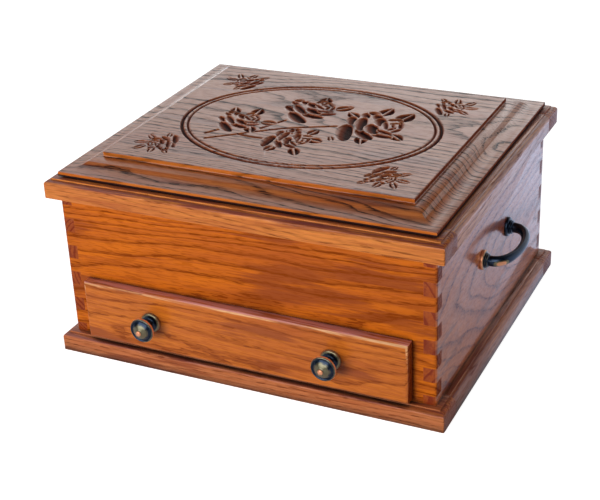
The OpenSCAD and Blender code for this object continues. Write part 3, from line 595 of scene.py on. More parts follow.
@dataclass(frozen=True)
class FeltFinish:
    """Napped felt: short matted fibres, a soft sheen and slight patches of worn nap."""

    name: str = "wine_felt"
    nap: Colour = (0.16, 0.012, 0.022)
    wear_and_highlight: Colour = (0.24, 0.03, 0.045)

    def build(self) -> bpy.types.Material:
        """Builds the finish.

        Returns:
            The material.
        """
        material, g, shader = blank_material(self.name)
        place = g.node("ShaderNodeTexCoord").outputs["Object"]
        fibres = g.noise(place, 1600.0, 3.0)
        patch = g.noise(place, 35.0, 3.0)
        colour = g.mix(g.span(patch, 0.35, 0.75, 0.0, 0.6), self.nap, self.wear_and_highlight)
        g.fill(shader, {
            "Base Color": g.mix(g.span(fibres, 0.35, 0.7, 0.0, 0.6), colour, self.wear_and_highlight),
            "Roughness": g.line(fibres, 0.1, 0.85),
            "Sheen Weight": 0.5,
            "Sheen Roughness": 0.4,
        })
        g.bump(shader, fibres, 0.6, 0.4 * MM)
        return material


@dataclass(frozen=True)
class Lamp:
    """A square soft light that looks at the chest."""

    name: str
    azimuth: float
    elevation: float
    distance: float
    side: float
    level: float

    def build(self, target: Vector) -> None:
        """Adds the light, at which a white card facing it renders at the lamp's level.

        Args:
            target: The place that it looks at.
        """
        away = toward(self.azimuth, self.elevation)
        lamp = bpy.data.lights.new(self.name, "AREA")
        lamp.size = self.side
        lamp.energy = self.level * (math.pi * self.distance) ** 2
        holder = added(self.name, lamp)
        turn = away.to_track_quat("Z", "Y").to_matrix().to_4x4()
        holder.matrix_world = Matrix.Translation(target + away * self.distance) @ turn
        holder.visible_glossy = False


@dataclass
class Studio:
    """The camera at the photograph's viewpoint, soft lamps, a pale floor and a white surround."""

    camera_place: Point = (0.5308, -1.1157, 0.6884)
    azimuth: float = 26.21
    elevation: float = 26.77
    roll: float = -2.61
    lens: float = 80.62
    sensor: float = 36.0
    target: Point = (0.0, 0.0, 0.1)
    floor_half: float = 8.0
    floor_colour: Colour = (0.86, 0.86, 0.86)
    # The bluish tint in which the floor glows for reflections only, a painted reflection.
    reflected_glow_tint: Colour = (0.50, 0.66, 1.0)
    ambient: float = 0.12
    softbox: float = 2.8
    lamps: tuple[Lamp, ...] = (
        Lamp("front_light", -14.0, 11.0, 2.0, 1.2, 1.0),
        Lamp("right_light", 80.0, 30.0, 2.6, 1.4, 0.12),
        Lamp("back_light", 165.0, 20.0, 2.8, 1.6, 0.30),
        Lamp("left_light", -100.0, 15.0, 2.8, 1.6, 0.25),
    )

    def build(self) -> None:
        """Makes the camera, the lamps, the floor and the world."""
        self.make_camera()
        for lamp in self.lamps:
            lamp.build(Vector(self.target))
        self.make_floor()
        self.make_world()
        bpy.context.scene.view_settings.view_transform = "Standard"

    def make_camera(self) -> None:
        """Places the camera by its azimuth, elevation and roll."""
        azimuth, roll = math.radians(self.azimuth), math.radians(self.roll)
        back = toward(self.azimuth, self.elevation)
        level = Vector((math.cos(azimuth), math.sin(azimuth), 0.0))
        right = math.cos(roll) * level + math.sin(roll) * back.cross(level)
        lens = bpy.data.cameras.new("camera")
        lens.lens = self.lens
        lens.sensor_width = self.sensor
        camera = added("camera", lens)
        turn = Matrix((right, back.cross(right), back)).transposed().to_4x4()
        camera.matrix_world = Matrix.Translation(self.camera_place) @ turn
        bpy.context.scene.camera = camera

    def seen(self, g: Graph) -> tuple[Socket, Socket]:
        """Returns 1 for rays of the camera or through glass, and 1 for rays of a reflection."""
        path = g.node("ShaderNodeLightPath").outputs
        return g.math("MAXIMUM", path["Is Camera Ray"], path["Is Transmission Ray"]), path["Is Glossy Ray"]

    def make_floor(self) -> None:
        """Makes the floor, white to the eye and pale under the lamps; for reflections only it glows as a
        painted reflection, bluish and brighter behind the chest, white and brightest in a patch to the back
        left.
        """
        material, g, shader = blank_material("pale_floor")
        g.fill(shader, {"Base Color": self.floor_colour, "Roughness": 0.9, "Specular IOR Level": 0.0})
        direct, mirrored = self.seen(g)
        place = g.node("ShaderNodeNewGeometry").outputs["Position"]
        spot = g.axes(place)
        # Painted reflection: the floor glows for reflections only, bluish and brighter towards the back,
        # white and brightest in a window patch to the back left.
        window = g.times(g.span(spot["X"], -0.6, -1.3), g.span(spot["Y"], 0.7, 1.5))
        level = g.line(window, 0.9, g.span(spot["Y"], -0.2, 0.45, 0.05, 0.92))
        colour = g.mix(mirrored, WHITE, g.mix(window, self.reflected_glow_tint, WHITE))
        far = g.span(g.vector("LENGTH", place), 0.6, 2.6, 0.80, 1.0)
        strength = g.line(direct, far, g.times(mirrored, level))
        glow = g.node("ShaderNodeEmission", {"Color": colour, "Strength": strength})
        both = g.node("ShaderNodeAddShader", {0: shader.outputs[0], 1: glow.outputs[0]})
        g.feed(material.node_tree.nodes["Material Output"].inputs["Surface"], both.outputs[0])
        h = self.floor_half
        mesh = bpy.data.meshes.new("floor")
        mesh.from_pydata([(-h, -h, 0.0), (h, -h, 0.0), (h, h, 0.0), (-h, h, 0.0)], [], [(0, 1, 2, 3)])
        mesh.materials.append(material)
        added("floor", mesh)

    def make_world(self) -> None:
        """Makes the surround: white to the eye, a white backdrop in reflections, and a dim fill."""
        world = bpy.data.worlds.new("surround")
        bpy.context.scene.world = world
        world.use_nodes = True
        g = Graph(world.node_tree)
        direct, mirrored = self.seen(g)
        way = g.axes(g.node("ShaderNodeTexCoord").outputs["Generated"])
        low = g.span(way["Z"], 0.36, 0.80, 1.35, 0.12)
        behind = g.span(way["Y"], -0.1, 0.4, 0.04, 1.0)
        aside = g.times(g.span(way["X"], -0.55, -0.28, 0.80, 1.20), g.span(way["X"], -0.22, 0.02, 1.0, 0.50))
        wall = g.times(g.times(low, behind), aside)
        off_middle = g.math("ABSOLUTE", g.math("ADD", way["X"], 0.08))
        column = g.times(g.span(off_middle, 0.70, 0.50), g.span(way["Y"], -0.2, -0.4))
        band = g.times(g.span(way["Z"], 0.12, 0.30), g.span(way["Z"], 0.90, 0.75))
        backdrop = g.line(g.times(column, band), self.softbox, wall)
        fill = g.line(mirrored, g.math("SUBTRACT", backdrop, self.ambient), self.ambient)
        background = world.node_tree.nodes["Background"]
        g.fill(background, {"Color": WHITE, "Strength": g.math("MAXIMUM", direct, fill)})


@dataclass(frozen=True)
class Hollow:
    """One hollow of the carving around its x and y, turned, in millimetres and degrees."""

    x: float
    y: float
    turn: float
    length: float
    width: float

    @property
    def ridge(self) -> float:
        """Returns the width of the ridge that is left around the hollow."""
        return float(np.clip(0.09 * self.width, 0.45, 1.0))

    @property
    def wall(self) -> float:
        """Returns how far in the hollow falls to its floor."""
        return float(np.clip(0.13 * self.width, 0.5, 1.5))

    def own_axes(self, dx: np.ndarray, dy: np.ndarray) -> tuple[np.ndarray, np.ndarray]:
        """Returns places around x and y along the hollow's length and across it."""
        c, s = math.cos(math.radians(self.turn)), math.sin(math.radians(self.turn))
        return dx * c + dy * s, dy * c - dx * s


@dataclass(frozen=True)
class Petal(Hollow):
    """One scooped hollow of a rose, an oval that bends round the rose's heart."""

    heart: Pair
    bend: float = 0.30
    deepest: float = 2.7

    @property
    def reach(self) -> float:
        """Returns how far the hollow reaches from its x and y."""
        return 0.6 * self.length + 0.3 * self.width

    @property
    def depth(self) -> float:
        """Returns the depth of the hollow's deepest side."""
        return min(self.deepest, 0.9 + 0.12 * self.width)

    def shape(self, dx: np.ndarray, dy: np.ndarray) -> tuple[np.ndarray, np.ndarray]:
        """Works out where the hollow is.

        Args:
            dx: Places along X from the hollow's own x.
            dy: Places along Y from the hollow's own y.

        Returns:
            The distance inside its outline, negative outside, and the share of its depth.
        """
        half_length, half_width = 0.5 * self.length, 0.5 * self.width
        side = 1.0 if self.own_axes(self.heart[0] - self.x, self.heart[1] - self.y)[1] > 0.0 else -1.0
        along, offset = self.own_axes(dx, dy)
        along = along / half_length
        across = offset * side / half_width - self.bend * along ** 2 + 0.1
        level = np.maximum(np.hypot(along, across), 0.05)
        slope = np.hypot(along / half_length, across / half_width) / level
        return (1.0 - level) / np.maximum(slope, TINY), 0.16 + 0.84 * eased(0.5 + 0.55 * across)


@dataclass(frozen=True)
class Leaf(Hollow):
    """A pointed hollow on both sides of a raised vein, drawn from its stalk."""

    deepest: float = 2.4

    @property
    def reach(self) -> float:
        """Returns how far the hollow reaches from its x and y."""
        return self.length

    @property
    def depth(self) -> float:
        """Returns the depth of the hollow's deepest side."""
        return min(self.deepest, 0.8 + 0.10 * self.width)

    def shape(self, dx: np.ndarray, dy: np.ndarray) -> tuple[np.ndarray, np.ndarray]:
        """Works out where the hollow is, as for a petal.

        Args:
            dx: Places along X from the leaf's stalk.
            dy: Places along Y from the leaf's stalk.

        Returns:
            The distance inside its outline, negative outside, and the share of its depth.
        """
        along, offset = self.own_axes(dx, dy)
        along, offset = along / self.length, np.abs(offset)
        bent = np.clip(along, 0.0, 1.0)
        half = 0.5 * self.width * np.sin(np.pi * bent ** 0.85) ** 0.75
        inside = np.minimum(half - offset, np.minimum(along, 1.0 - along) * self.length)
        vein = offset - 0.02 * self.length * (1.0 - bent)
        return np.minimum(inside, vein + 0.04 * self.width), 1.0 - 0.55 * offset / (0.5 * self.width)


@dataclass(frozen=True)
class Rose:
    """A carved rose, the pattern's petals turned and sized around its heart."""

    x: float
    y: float
    size: float
    turn: float
    flip_x: int = 1
    flip_y: int = 1
    pattern: tuple[tuple[float, ...], ...] = (
        (-37.0, -26.0, 107.0, 46.0, 20.0), (-42.0, 5.0, 110.0, 25.0, 14.0), (-34.0, 22.0, 110.0, 18.0, 12.0),
        (-27.0, 29.0, 150.0, 18.0, 12.0), (-18.0, -25.0, 137.0, 34.0, 16.0), (-30.0, 0.0, 105.0, 37.0, 15.0),
        (-20.0, 20.0, 125.0, 21.0, 14.0), (0.0, -23.0, -8.0, 25.0, 12.0), (-15.0, -9.0, 118.0, 29.0, 17.0),
        (-13.0, 10.0, 118.0, 25.0, 16.0), (-2.0, 20.0, 20.0, 17.0, 9.0), (-1.0, -13.0, -24.0, 22.0, 9.0),
        (9.0, 7.0, 108.0, 22.0, 8.0), (9.0, -6.0, 62.0, 15.0, 7.5), (-6.0, 3.0, 112.0, 22.0, 8.0),
        (1.0, 11.0, 25.0, 12.0, 6.5), (3.0, -3.0, 60.0, 13.0, 6.5), (2.0, 4.0, 120.0, 9.0, 5.5),
    )

    def petals(self) -> list[Petal]:
        """Turns and sizes the pattern.

        Returns:
            The petals, the furthest back first.
        """
        c, s = math.cos(math.radians(self.turn)), math.sin(math.radians(self.turn))
        found = []
        for x, y, turn, length, width in self.pattern:
            across, up = self.flip_x * self.size * (x * c - y * s), self.flip_y * self.size * (x * s + y * c)
            way = self.flip_x * self.flip_y * (turn + self.turn)
            size = self.size * length, self.size * width
            found.append(Petal(self.x + across, self.y + up, way, *size, (self.x, self.y)))
        return found


@dataclass(frozen=True)
class Stem:
    """A shallow rounded groove along a line of points, in millimetres."""

    points: tuple[Pair, ...]
    half_width: float = 1.9
    depth: float = 1.0


@dataclass
class CarvedPanel:
    """The raised panel of the lid, with its bevel, the double oval and the carved roses, in millimetres."""

    bevel: float = 32.0
    fillet: float = 3.2
    cove: float = 1.2
    flat_rim: float = 7.0
    lip: float = 5.4
    arris: float = 0.6
    margin: float = 1.6
    cells: tuple[int, int] = (576, 480)
    largest_cell: int = 32
    flat_within: float = 0.03
    shallowest: float = 0.02
    edge_angle: float = 38.0
    undercut: Pair = (3.0, 1.3)
    oval: Pair = (133.8, 105.9)
    oval_middle: Pair = (0.0, -3.0)
    oval_grooves: tuple[Point, ...] = ((2.2, 2.2, 2.0), (8.0, 1.6, 1.5))
    roses: tuple[Rose, ...] = (
        Rose(77.0, 16.0, 1.0, 0.0), Rose(-5.0, 45.0, 0.84, 30.0),
        Rose(-62.0, -7.0, 0.70, 26.0), Rose(8.0, -44.0, 0.68, -16.0),
    )
    leaves: tuple[tuple[float, ...], ...] = (
        (78.0, 31.0, 73.0, 29.0, 21.0), (57.0, 41.0, 80.0, 25.0, 18.0), (38.0, 28.0, 137.0, 21.0, 15.0),
        (83.0, 1.0, -38.0, 23.0, 16.0), (59.0, -14.0, -70.0, 21.0, 16.0), (37.0, -35.0, 118.0, 14.0, 9.0),
        (-10.0, 53.0, 101.0, 20.0, 17.0), (7.0, 41.0, 44.0, 23.0, 17.0), (-25.0, 33.0, 172.0, 18.0, 17.0),
        (-84.0, -2.0, 112.0, 21.0, 15.0), (-64.0, 2.0, 92.0, 20.0, 17.0), (-50.0, -11.0, -3.0, 20.0, 15.0),
        (-55.0, -25.0, -62.0, 19.0, 15.0), (9.0, -28.0, 72.0, 17.0, 14.0), (13.0, -37.0, -12.0, 18.0, 17.0),
        (9.0, -61.0, -60.0, 21.0, 15.0), (-9.0, -63.0, 252.0, 16.0, 14.0), (-2.0, -30.0, 152.0, 17.0, 12.0),
    )
    stems: tuple[Stem, ...] = (
        Stem(((-82.0, -68.0), (-62.0, -52.0), (-42.0, -36.0), (-22.0, -21.0), (-9.0, -14.0), (26.0, 2.0))),
        Stem(((-57.0, -48.0), (-44.0, -50.0), (-30.0, -50.0))),
        Stem(((-88.0, -56.0), (-83.0, -48.0), (-78.0, -40.0))),
        Stem(((-42.0, -27.0), (-35.0, -13.0), (-28.0, 0.0))),
    )
    spray_places: tuple[Pair, ...] = ((-118.0, 88.0), (118.0, 87.0), (-119.0, -94.0), (118.0, -97.0))
    spray_rose: tuple[float, ...] = (4.0, 2.0, 0.5, 12.0)
    spray_leaves: tuple[tuple[float, ...], ...] = (
        (8.0, 7.0, 58.0, 18.0, 10.0), (8.0, 1.0, 12.0, 19.0, 10.0), (0.0, 9.0, 102.0, 17.0, 10.0),
        (6.0, -6.0, -36.0, 18.0, 9.5), (-12.0, 12.0, 135.0, 13.0, 8.0), (-2.0, -16.0, -75.0, 12.0, 8.0),
    )
    half: Pair = field(init=False)
    top: float = field(init=False)
    thick: float = field(init=False)

    def __post_init__(self) -> None:
        """Takes the panel's sizes from its solid."""
        low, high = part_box("lid_panel")
        self.half = (MM_PER_METRE * high.x - self.bevel, MM_PER_METRE * high.y - self.bevel)
        self.top = MM_PER_METRE * high.z
        self.thick = MM_PER_METRE * (high.z - low.z)

    def build(self, finish: bpy.types.Material) -> bpy.types.Object:
        """Carves the panel in the place of its solid.

        Args:
            finish: The panel's finish.

        Returns:
            The panel.
        """
        corners, faces, cut, sides = self.field_mesh()
        self.add_border(corners, faces, sides)
        cut = np.concatenate([cut, np.zeros(len(corners) - len(cut))])
        mesh = shaded_mesh("carved_panel", (np.array(corners) * MM).tolist(), faces, self.edge_angle)
        mark(mesh, "cut", cut)
        mesh.materials.append(finish)
        LOG.info("carved panel: %d faces", len(faces))
        return added("carved_panel", mesh)

    def hollows(self) -> list[Petal | Leaf]:
        """Collects the sprays and the roses.

        Returns:
            Every leaf and petal, the furthest back first.
        """
        found: list[Petal | Leaf] = [Leaf(*row) for row in self.leaves]
        for x, y in self.spray_places:
            flip_x, flip_y = (1 if x > 0 else -1), (1 if y > 0 else -1)
            for out_x, out_y, turn, length, width in self.spray_leaves:
                way = turn if flip_x > 0 else 180.0 - turn
                found.append(Leaf(x + flip_x * out_x, y + flip_y * out_y, flip_y * way, length, width))
            out_x, out_y, size, turn = self.spray_rose
            found += Rose(x + flip_x * out_x, y + flip_y * out_y, size, turn, flip_x, flip_y).petals()
        for rose in self.roses:
            found += rose.petals()
        return found

    def depths(self, x: np.ndarray, y: np.ndarray) -> np.ndarray:
        """Works out how deep the carving is.

        Args:
            x: The grid's places along X, in millimetres.
            y: The grid's places along Y.

        Returns:
            The depth at each place of the grid, in millimetres.
        """
        across, up = np.meshgrid(x, y, indexing="ij")
        depth = np.zeros(across.shape)
        for stem in self.stems:
            for (x0, y0), (x1, y1) in zip(stem.points, stem.points[1:]):
                run = (x1 - x0) ** 2 + (y1 - y0) ** 2
                share = np.clip(((across - x0) * (x1 - x0) + (up - y0) * (y1 - y0)) / run, 0.0, 1.0)
                away = np.hypot(across - x0 - share * (x1 - x0), up - y0 - share * (y1 - y0))
                depth = np.maximum(depth, stem.depth * np.clip(1.0 - (away / stem.half_width) ** 2, 0.0, 1.0))
        for hollow in self.hollows():
            halo = hollow.reach + 2.0
            part = tuple(slice(*np.searchsorted(line, (middle - halo, middle + halo)))
                         for line, middle in ((x, hollow.x), (y, hollow.y)))
            inside, share = hollow.shape(across[part] - hollow.x, up[part] - hollow.y)
            own = hollow.depth * share * eased((inside - hollow.ridge) / hollow.wall)
            cover = eased(inside / 0.5 + 0.5)
            depth[part] = depth[part] * (1.0 - cover) + own * cover
        inward = self.inside_oval(across, up)
        for middle, half_width, deep in self.oval_grooves:
            depth = np.maximum(depth, deep * np.clip(1.0 - ((inward - middle) / half_width) ** 2, 0.0, 1.0))
        return depth

    def inside_oval(self, across: np.ndarray, up: np.ndarray) -> np.ndarray:
        """Measures from the oval's line.

        Args:
            across: Places along X, in millimetres.
            up: Places along Y.

        Returns:
            How far inside the oval each place is, negative outside.
        """
        a, b = self.oval
        dx, dy = across - self.oval_middle[0], up - self.oval_middle[1]
        level = np.sqrt((dx / a) ** 2 + (dy / b) ** 2)
        slope = np.sqrt((dx / a ** 2) ** 2 + (dy / b ** 2) ** 2) / np.maximum(level, 0.2)
        return (1.0 - level) / np.maximum(slope, TINY)

    def field_mesh(self) -> tuple[list[Point], list[list[int]], np.ndarray, list[list[int]]]:
        """Makes the raised field, with small faces only where it is carved.

        Returns:
            The corners in millimetres, the faces, each corner's depth, and the corners along each side.
        """
        nx, ny = self.cells
        x, y = (np.linspace(self.margin - half, half - self.margin, count + 1)
                for half, count in zip(self.half, self.cells))
        depth = self.depths(x, y)
        depth[depth < self.shallowest] = 0.0
        sizes = []
        size = self.largest_cell
        taken = np.zeros((nx, ny), bool)
        while size >= 1:
            free = ~taken.reshape(nx // size, size, ny // size, size).any(axis=(1, 3))
            use = free & self.plain_cells(depth, size)
            sizes.extend((size, i * size, j * size) for i, j in np.argwhere(use))
            taken |= np.repeat(np.repeat(use, size, 0), size, 1)
            size //= 2
        corner = np.zeros((nx + 1, ny + 1), bool)
        for size, i, j in sizes:
            corner[[i, i + size, i + size, i], [j, j, j + size, j + size]] = True
        number = np.full(corner.shape, -1)
        number[corner] = np.arange(corner.sum())
        where = np.argwhere(corner)
        corners = [(x[i], y[j], self.top - depth[i, j]) for i, j in where]
        faces = []
        for size, i, j in sizes:
            ring = [number[i:i + size, j], number[i + size, j:j + size],
                    number[i + size:i:-1, j + size], number[i, j + size:j:-1]]
            faces.append([int(v) for side in ring for v in side if v >= 0])
        outline = (number[:, 0], number[-1, :], number[::-1, -1], number[0, ::-1])
        sides = [[int(v) for v in side if v >= 0] for side in outline]
        return corners, faces, np.array([depth[i, j] for i, j in where]), sides

    def plain_cells(self, depth: np.ndarray, size: int) -> np.ndarray:
        """Finds the cells without carving.

        Args:
            depth: The depth at each place of the grid.
            size: How many of the grid's steps a cell has.

        Returns:
            Which cells of the size are flat enough for one face.
        """
        nx, ny = self.cells
        if size == 1:
            return np.ones((nx, ny), bool)
        if size > 2:
            cut = depth > 0.0
            near = cut[:-1, :-1] | cut[1:, :-1] | cut[:-1, 1:] | cut[1:, 1:]
            return ~near.reshape(nx // size, size, ny // size, size).any(axis=(1, 3))
        a, b, c, d = depth[:-2:2, :-2:2], depth[2::2, :-2:2], depth[:-2:2, 2::2], depth[2::2, 2::2]
        off = np.abs(depth[1::2, 1::2] - (a + b + c + d) / 4.0)
        for side, ends in ((depth[1::2, :-2:2], a + b), (depth[1::2, 2::2], c + d),
                           (depth[:-2:2, 1::2], a + c), (depth[2::2, 1::2], b + d)):
            off = np.maximum(off, np.abs(side - ends / 2.0))
        return off < self.flat_within

    def profile(self) -> list[Pair]:
        """Draws the bevel's section.

        Returns:
            Points, by how far out from the field's edge and down from the top.
        """
        run = self.bevel - self.flat_rim - self.cove
        fall = self.thick - self.lip - self.fillet - self.cove
        swing = 2.0 * math.atan(fall / run)
        radius = run / (2.0 * math.sin(swing))
        down, rim, low = self.fillet + self.cove, self.bevel - self.flat_rim, self.thick - self.lip
        points = [(-self.arris * (1.0 - math.sin(a)), self.arris * (1.0 - math.cos(a)))
                  for a in np.linspace(0.0, QUARTER, 4)]
        points.append((0.0, self.fillet))
        points += [(self.cove * (1.0 - math.cos(a)), self.fillet + self.cove * math.sin(a))
                   for a in np.linspace(0.0, QUARTER, 8)[1:]]
        points += [(self.cove + radius * math.sin(a), down + radius * (1.0 - math.cos(a)))
                   for a in np.linspace(0.0, swing, 9)[1:]]
        points += [(rim - radius * math.sin(a), low - radius * (1.0 - math.cos(a)))
                   for a in np.linspace(swing, 0.0, 9)[1:]]
        points += [(self.bevel - self.arris * (1.0 - math.sin(a)), low + self.arris * (1.0 - math.cos(a)))
                   for a in np.linspace(0.0, QUARTER, 4)]
        inset, gap = self.undercut
        inner = self.bevel - inset
        points += [(self.bevel, self.thick - gap), (inner, self.thick - gap), (inner, self.thick)]
        return points

    def add_border(self, corners: list[Point], faces: list[list[int]], sides: list[list[int]]) -> None:
        """Adds the bevel around the field and the underside.

        Args:
            corners: The field's corners, to which the border's are added.
            faces: The field's faces, to which the border's are added.
            sides: The field's corners along each of its sides.
        """
        signs = ((-1, -1), (1, -1), (1, 1), (-1, 1))
        rings = []
        for out, down in self.profile():
            rings.append(list(range(len(corners), len(corners) + 4)))
            corners.extend((sx * (self.half[0] + out), sy * (self.half[1] + out), self.top - down)
                           for sx, sy in signs)
        for side, edge in enumerate(sides):
            faces.append([rings[0][side], rings[0][(side + 1) % 4], *reversed(edge)])
        for inner, outer in zip(rings, rings[1:]):
            for side in range(4):
                nxt = (side + 1) % 4
                faces.append([outer[side], outer[nxt], inner[nxt], inner[side]])
        faces.append(list(reversed(rings[-1])))


def lathe(name: str, profile: list[Pair], wear: list[float], steps: int = 72) -> bpy.types.Mesh:
    """Makes a turned mesh around Z.

    Args:
        name: The mesh's name.
        profile: Radius and height of each point, in metres, from the foot's middle to the top's middle.
        wear: How worn each point is, from 0 to 1.
        steps: Faces around.

    Returns:
        The closed mesh, with the wear as an attribute.
    """
    corners, faces, worn, rows = [], [], [], []
    for (radius, height), rub in zip(profile, wear):
        around = np.arange(steps if radius > 1e-9 else 1) * 2.0 * math.pi / steps
        rows.append(list(range(len(corners), len(corners) + len(around))))
        corners.extend((radius * math.cos(a), radius * math.sin(a), height) for a in around)
        worn.extend([rub] * len(around))
    for low, high in zip(rows, rows[1:]):
        for i in range(steps):
            j = (i + 1) % steps
            ring = [low[i % len(low)], low[j % len(low)], high[j % len(high)], high[i % len(high)]]
            faces.append(list(dict.fromkeys(ring)))
    mesh = shaded_mesh(name, corners, faces, TURNED_EDGE)
    mark(mesh, "wear", worn)
    return mesh


def smooth_profile(points: tuple[Point, ...], steps: int = 3) -> tuple[list[Pair], list[float]]:
    """Rounds a section's corners a little.

    Args:
        points: Radius, height and wear of each point, in millimetres.
        steps: Points along each rounded corner.

    Returns:
        The radius and height of each point in metres, and the wear of each.
    """
    profile, wear = [points[0][:2]], [points[0][2]]
    for before, here, after in zip(points, points[1:], points[2:]):
        a, p, b = Vector(before[:2]), Vector(here[:2]), Vector(after[:2])
        cut = min(0.35, 0.4 * (a - p).length, 0.4 * (b - p).length)
        start, end = p + (a - p).normalized() * cut, p + (b - p).normalized() * cut
        for step in range(steps):
            t = step / (steps - 1)
            spot = start * (1 - t) ** 2 + p * (2 * t * (1 - t)) + end * t ** 2
            profile.append((spot.x, spot.y))
            wear.append(here[2])
    profile.append(points[-1][:2])
    wear.append(points[-1][2])
    return [(r * MM, h * MM) for r, h in profile], wear


@dataclass
class Knob:
    """A turned knob on a round plate, with a grooved rim and a small nub."""

    node: str
    section: tuple[Point, ...] = (
        (0.0, 0.0, 0.0), (10.0, 0.0, 0.3), (10.0, 1.7, 0.6), (9.2, 2.7, 0.35), (7.0, 3.2, 0.1),
        (5.4, 3.7, 0.0), (4.5, 5.2, 0.0), (4.3, 8.0, 0.0), (4.6, 11.0, 0.0), (6.6, 12.9, 0.1),
        (9.6, 14.0, 0.3), (11.6, 15.0, 0.7), (12.4, 16.4, 1.0), (12.4, 17.4, 0.75), (11.8, 18.6, 0.26),
        (10.8, 18.9, 0.14), (10.3, 18.3, 0.0), (9.7, 18.2, 0.0), (9.4, 18.6, 0.02), (8.8, 19.2, 0.08),
        (7.6, 20.3, 0.20), (6.4, 21.2, 0.32), (4.6, 22.1, 0.42), (2.9, 22.8, 0.45), (2.6, 23.2, 0.4),
        (2.6, 24.1, 0.8), (1.7, 24.9, 1.0), (0.0, 25.0, 1.0),
    )

    def build(self, finish: bpy.types.Material) -> bpy.types.Object:
        """Turns the knob in the place of its solid.

        Args:
            finish: The knob's finish.

        Returns:
            The knob.
        """
        low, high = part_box(self.node)
        mesh = lathe(f"{self.node}_turned", *smooth_profile(self.section))
        place = Matrix.Translation(((low.x + high.x) / 2.0, high.y, (low.z + high.z) / 2.0))
        mesh.transform(place @ Matrix.Rotation(math.radians(90.0), 4, "X"))
        mesh.materials.append(finish)
        return added(f"{self.node}_turned", mesh)


def geometry_tree(name: str, inputs: dict[str, tuple[str, object]]) -> tuple[Graph, bpy.types.Node]:
    """Starts a geometry tree that takes a finish.

    Args:
        name: The tree's name.
        inputs: Socket type and first value of each input after the geometry, by name.

    Returns:
        The tree's graph and its input node.
    """
    tree = bpy.data.node_groups.new(name, "GeometryNodeTree")
    tree.interface.new_socket("Geometry", in_out="INPUT", socket_type="NodeSocketGeometry")
    tree.interface.new_socket("Geometry", in_out="OUTPUT", socket_type="NodeSocketGeometry")
    for label, (kind, value) in (inputs | {"Finish": ("NodeSocketMaterial", None)}).items():
        socket = tree.interface.new_socket(label, in_out="INPUT", socket_type=kind)
        if value is not None:
            socket.default_value = value
    graph = Graph(tree)
    return graph, graph.node("NodeGroupInput")


def finished_tree(g: Graph, given: bpy.types.Node, geometry: Socket) -> bpy.types.NodeTree:
    """Ends a geometry tree with real faces in a finish.

    Args:
        g: The tree's graph.
        given: Its input node.
        geometry: What the tree has made.

    Returns:
        The tree.
    """
    real = g.node("GeometryNodeRealizeInstances", {"Geometry": geometry})
    finish = {"Geometry": real.outputs[0], "Material": given.outputs["Finish"]}
    g.node("NodeGroupOutput", {"Geometry": g.node("GeometryNodeSetMaterial", finish).outputs[0]})
    return g.tree


def grown(source: bpy.types.Object, tree: bpy.types.NodeTree, values: dict[str, object],
          name: str) -> bpy.types.Object:
    """Runs a geometry tree on an object.

    Args:
        source: The object that the tree starts from. It is removed.
        tree: The geometry tree.
        values: Values of the tree's inputs, by name.
        name: The new piece's name.

    Returns:
        A plain mesh object with the tree's result.
    """
    modifier = source.modifiers.new("grow", "NODES")
    modifier.node_group = tree
    for item in tree.interface.items_tree:
        if item.in_out == "INPUT" and item.name in values:
            modifier[item.identifier] = values[item.name]
    bpy.context.view_layer.update()
    result = source.evaluated_get(bpy.context.evaluated_depsgraph_get())
    mesh = bpy.data.meshes.new_from_object(result)
    mesh.name = name
    source.modifiers.remove(modifier)
    bpy.data.objects.remove(source)
    return added(name, mesh)


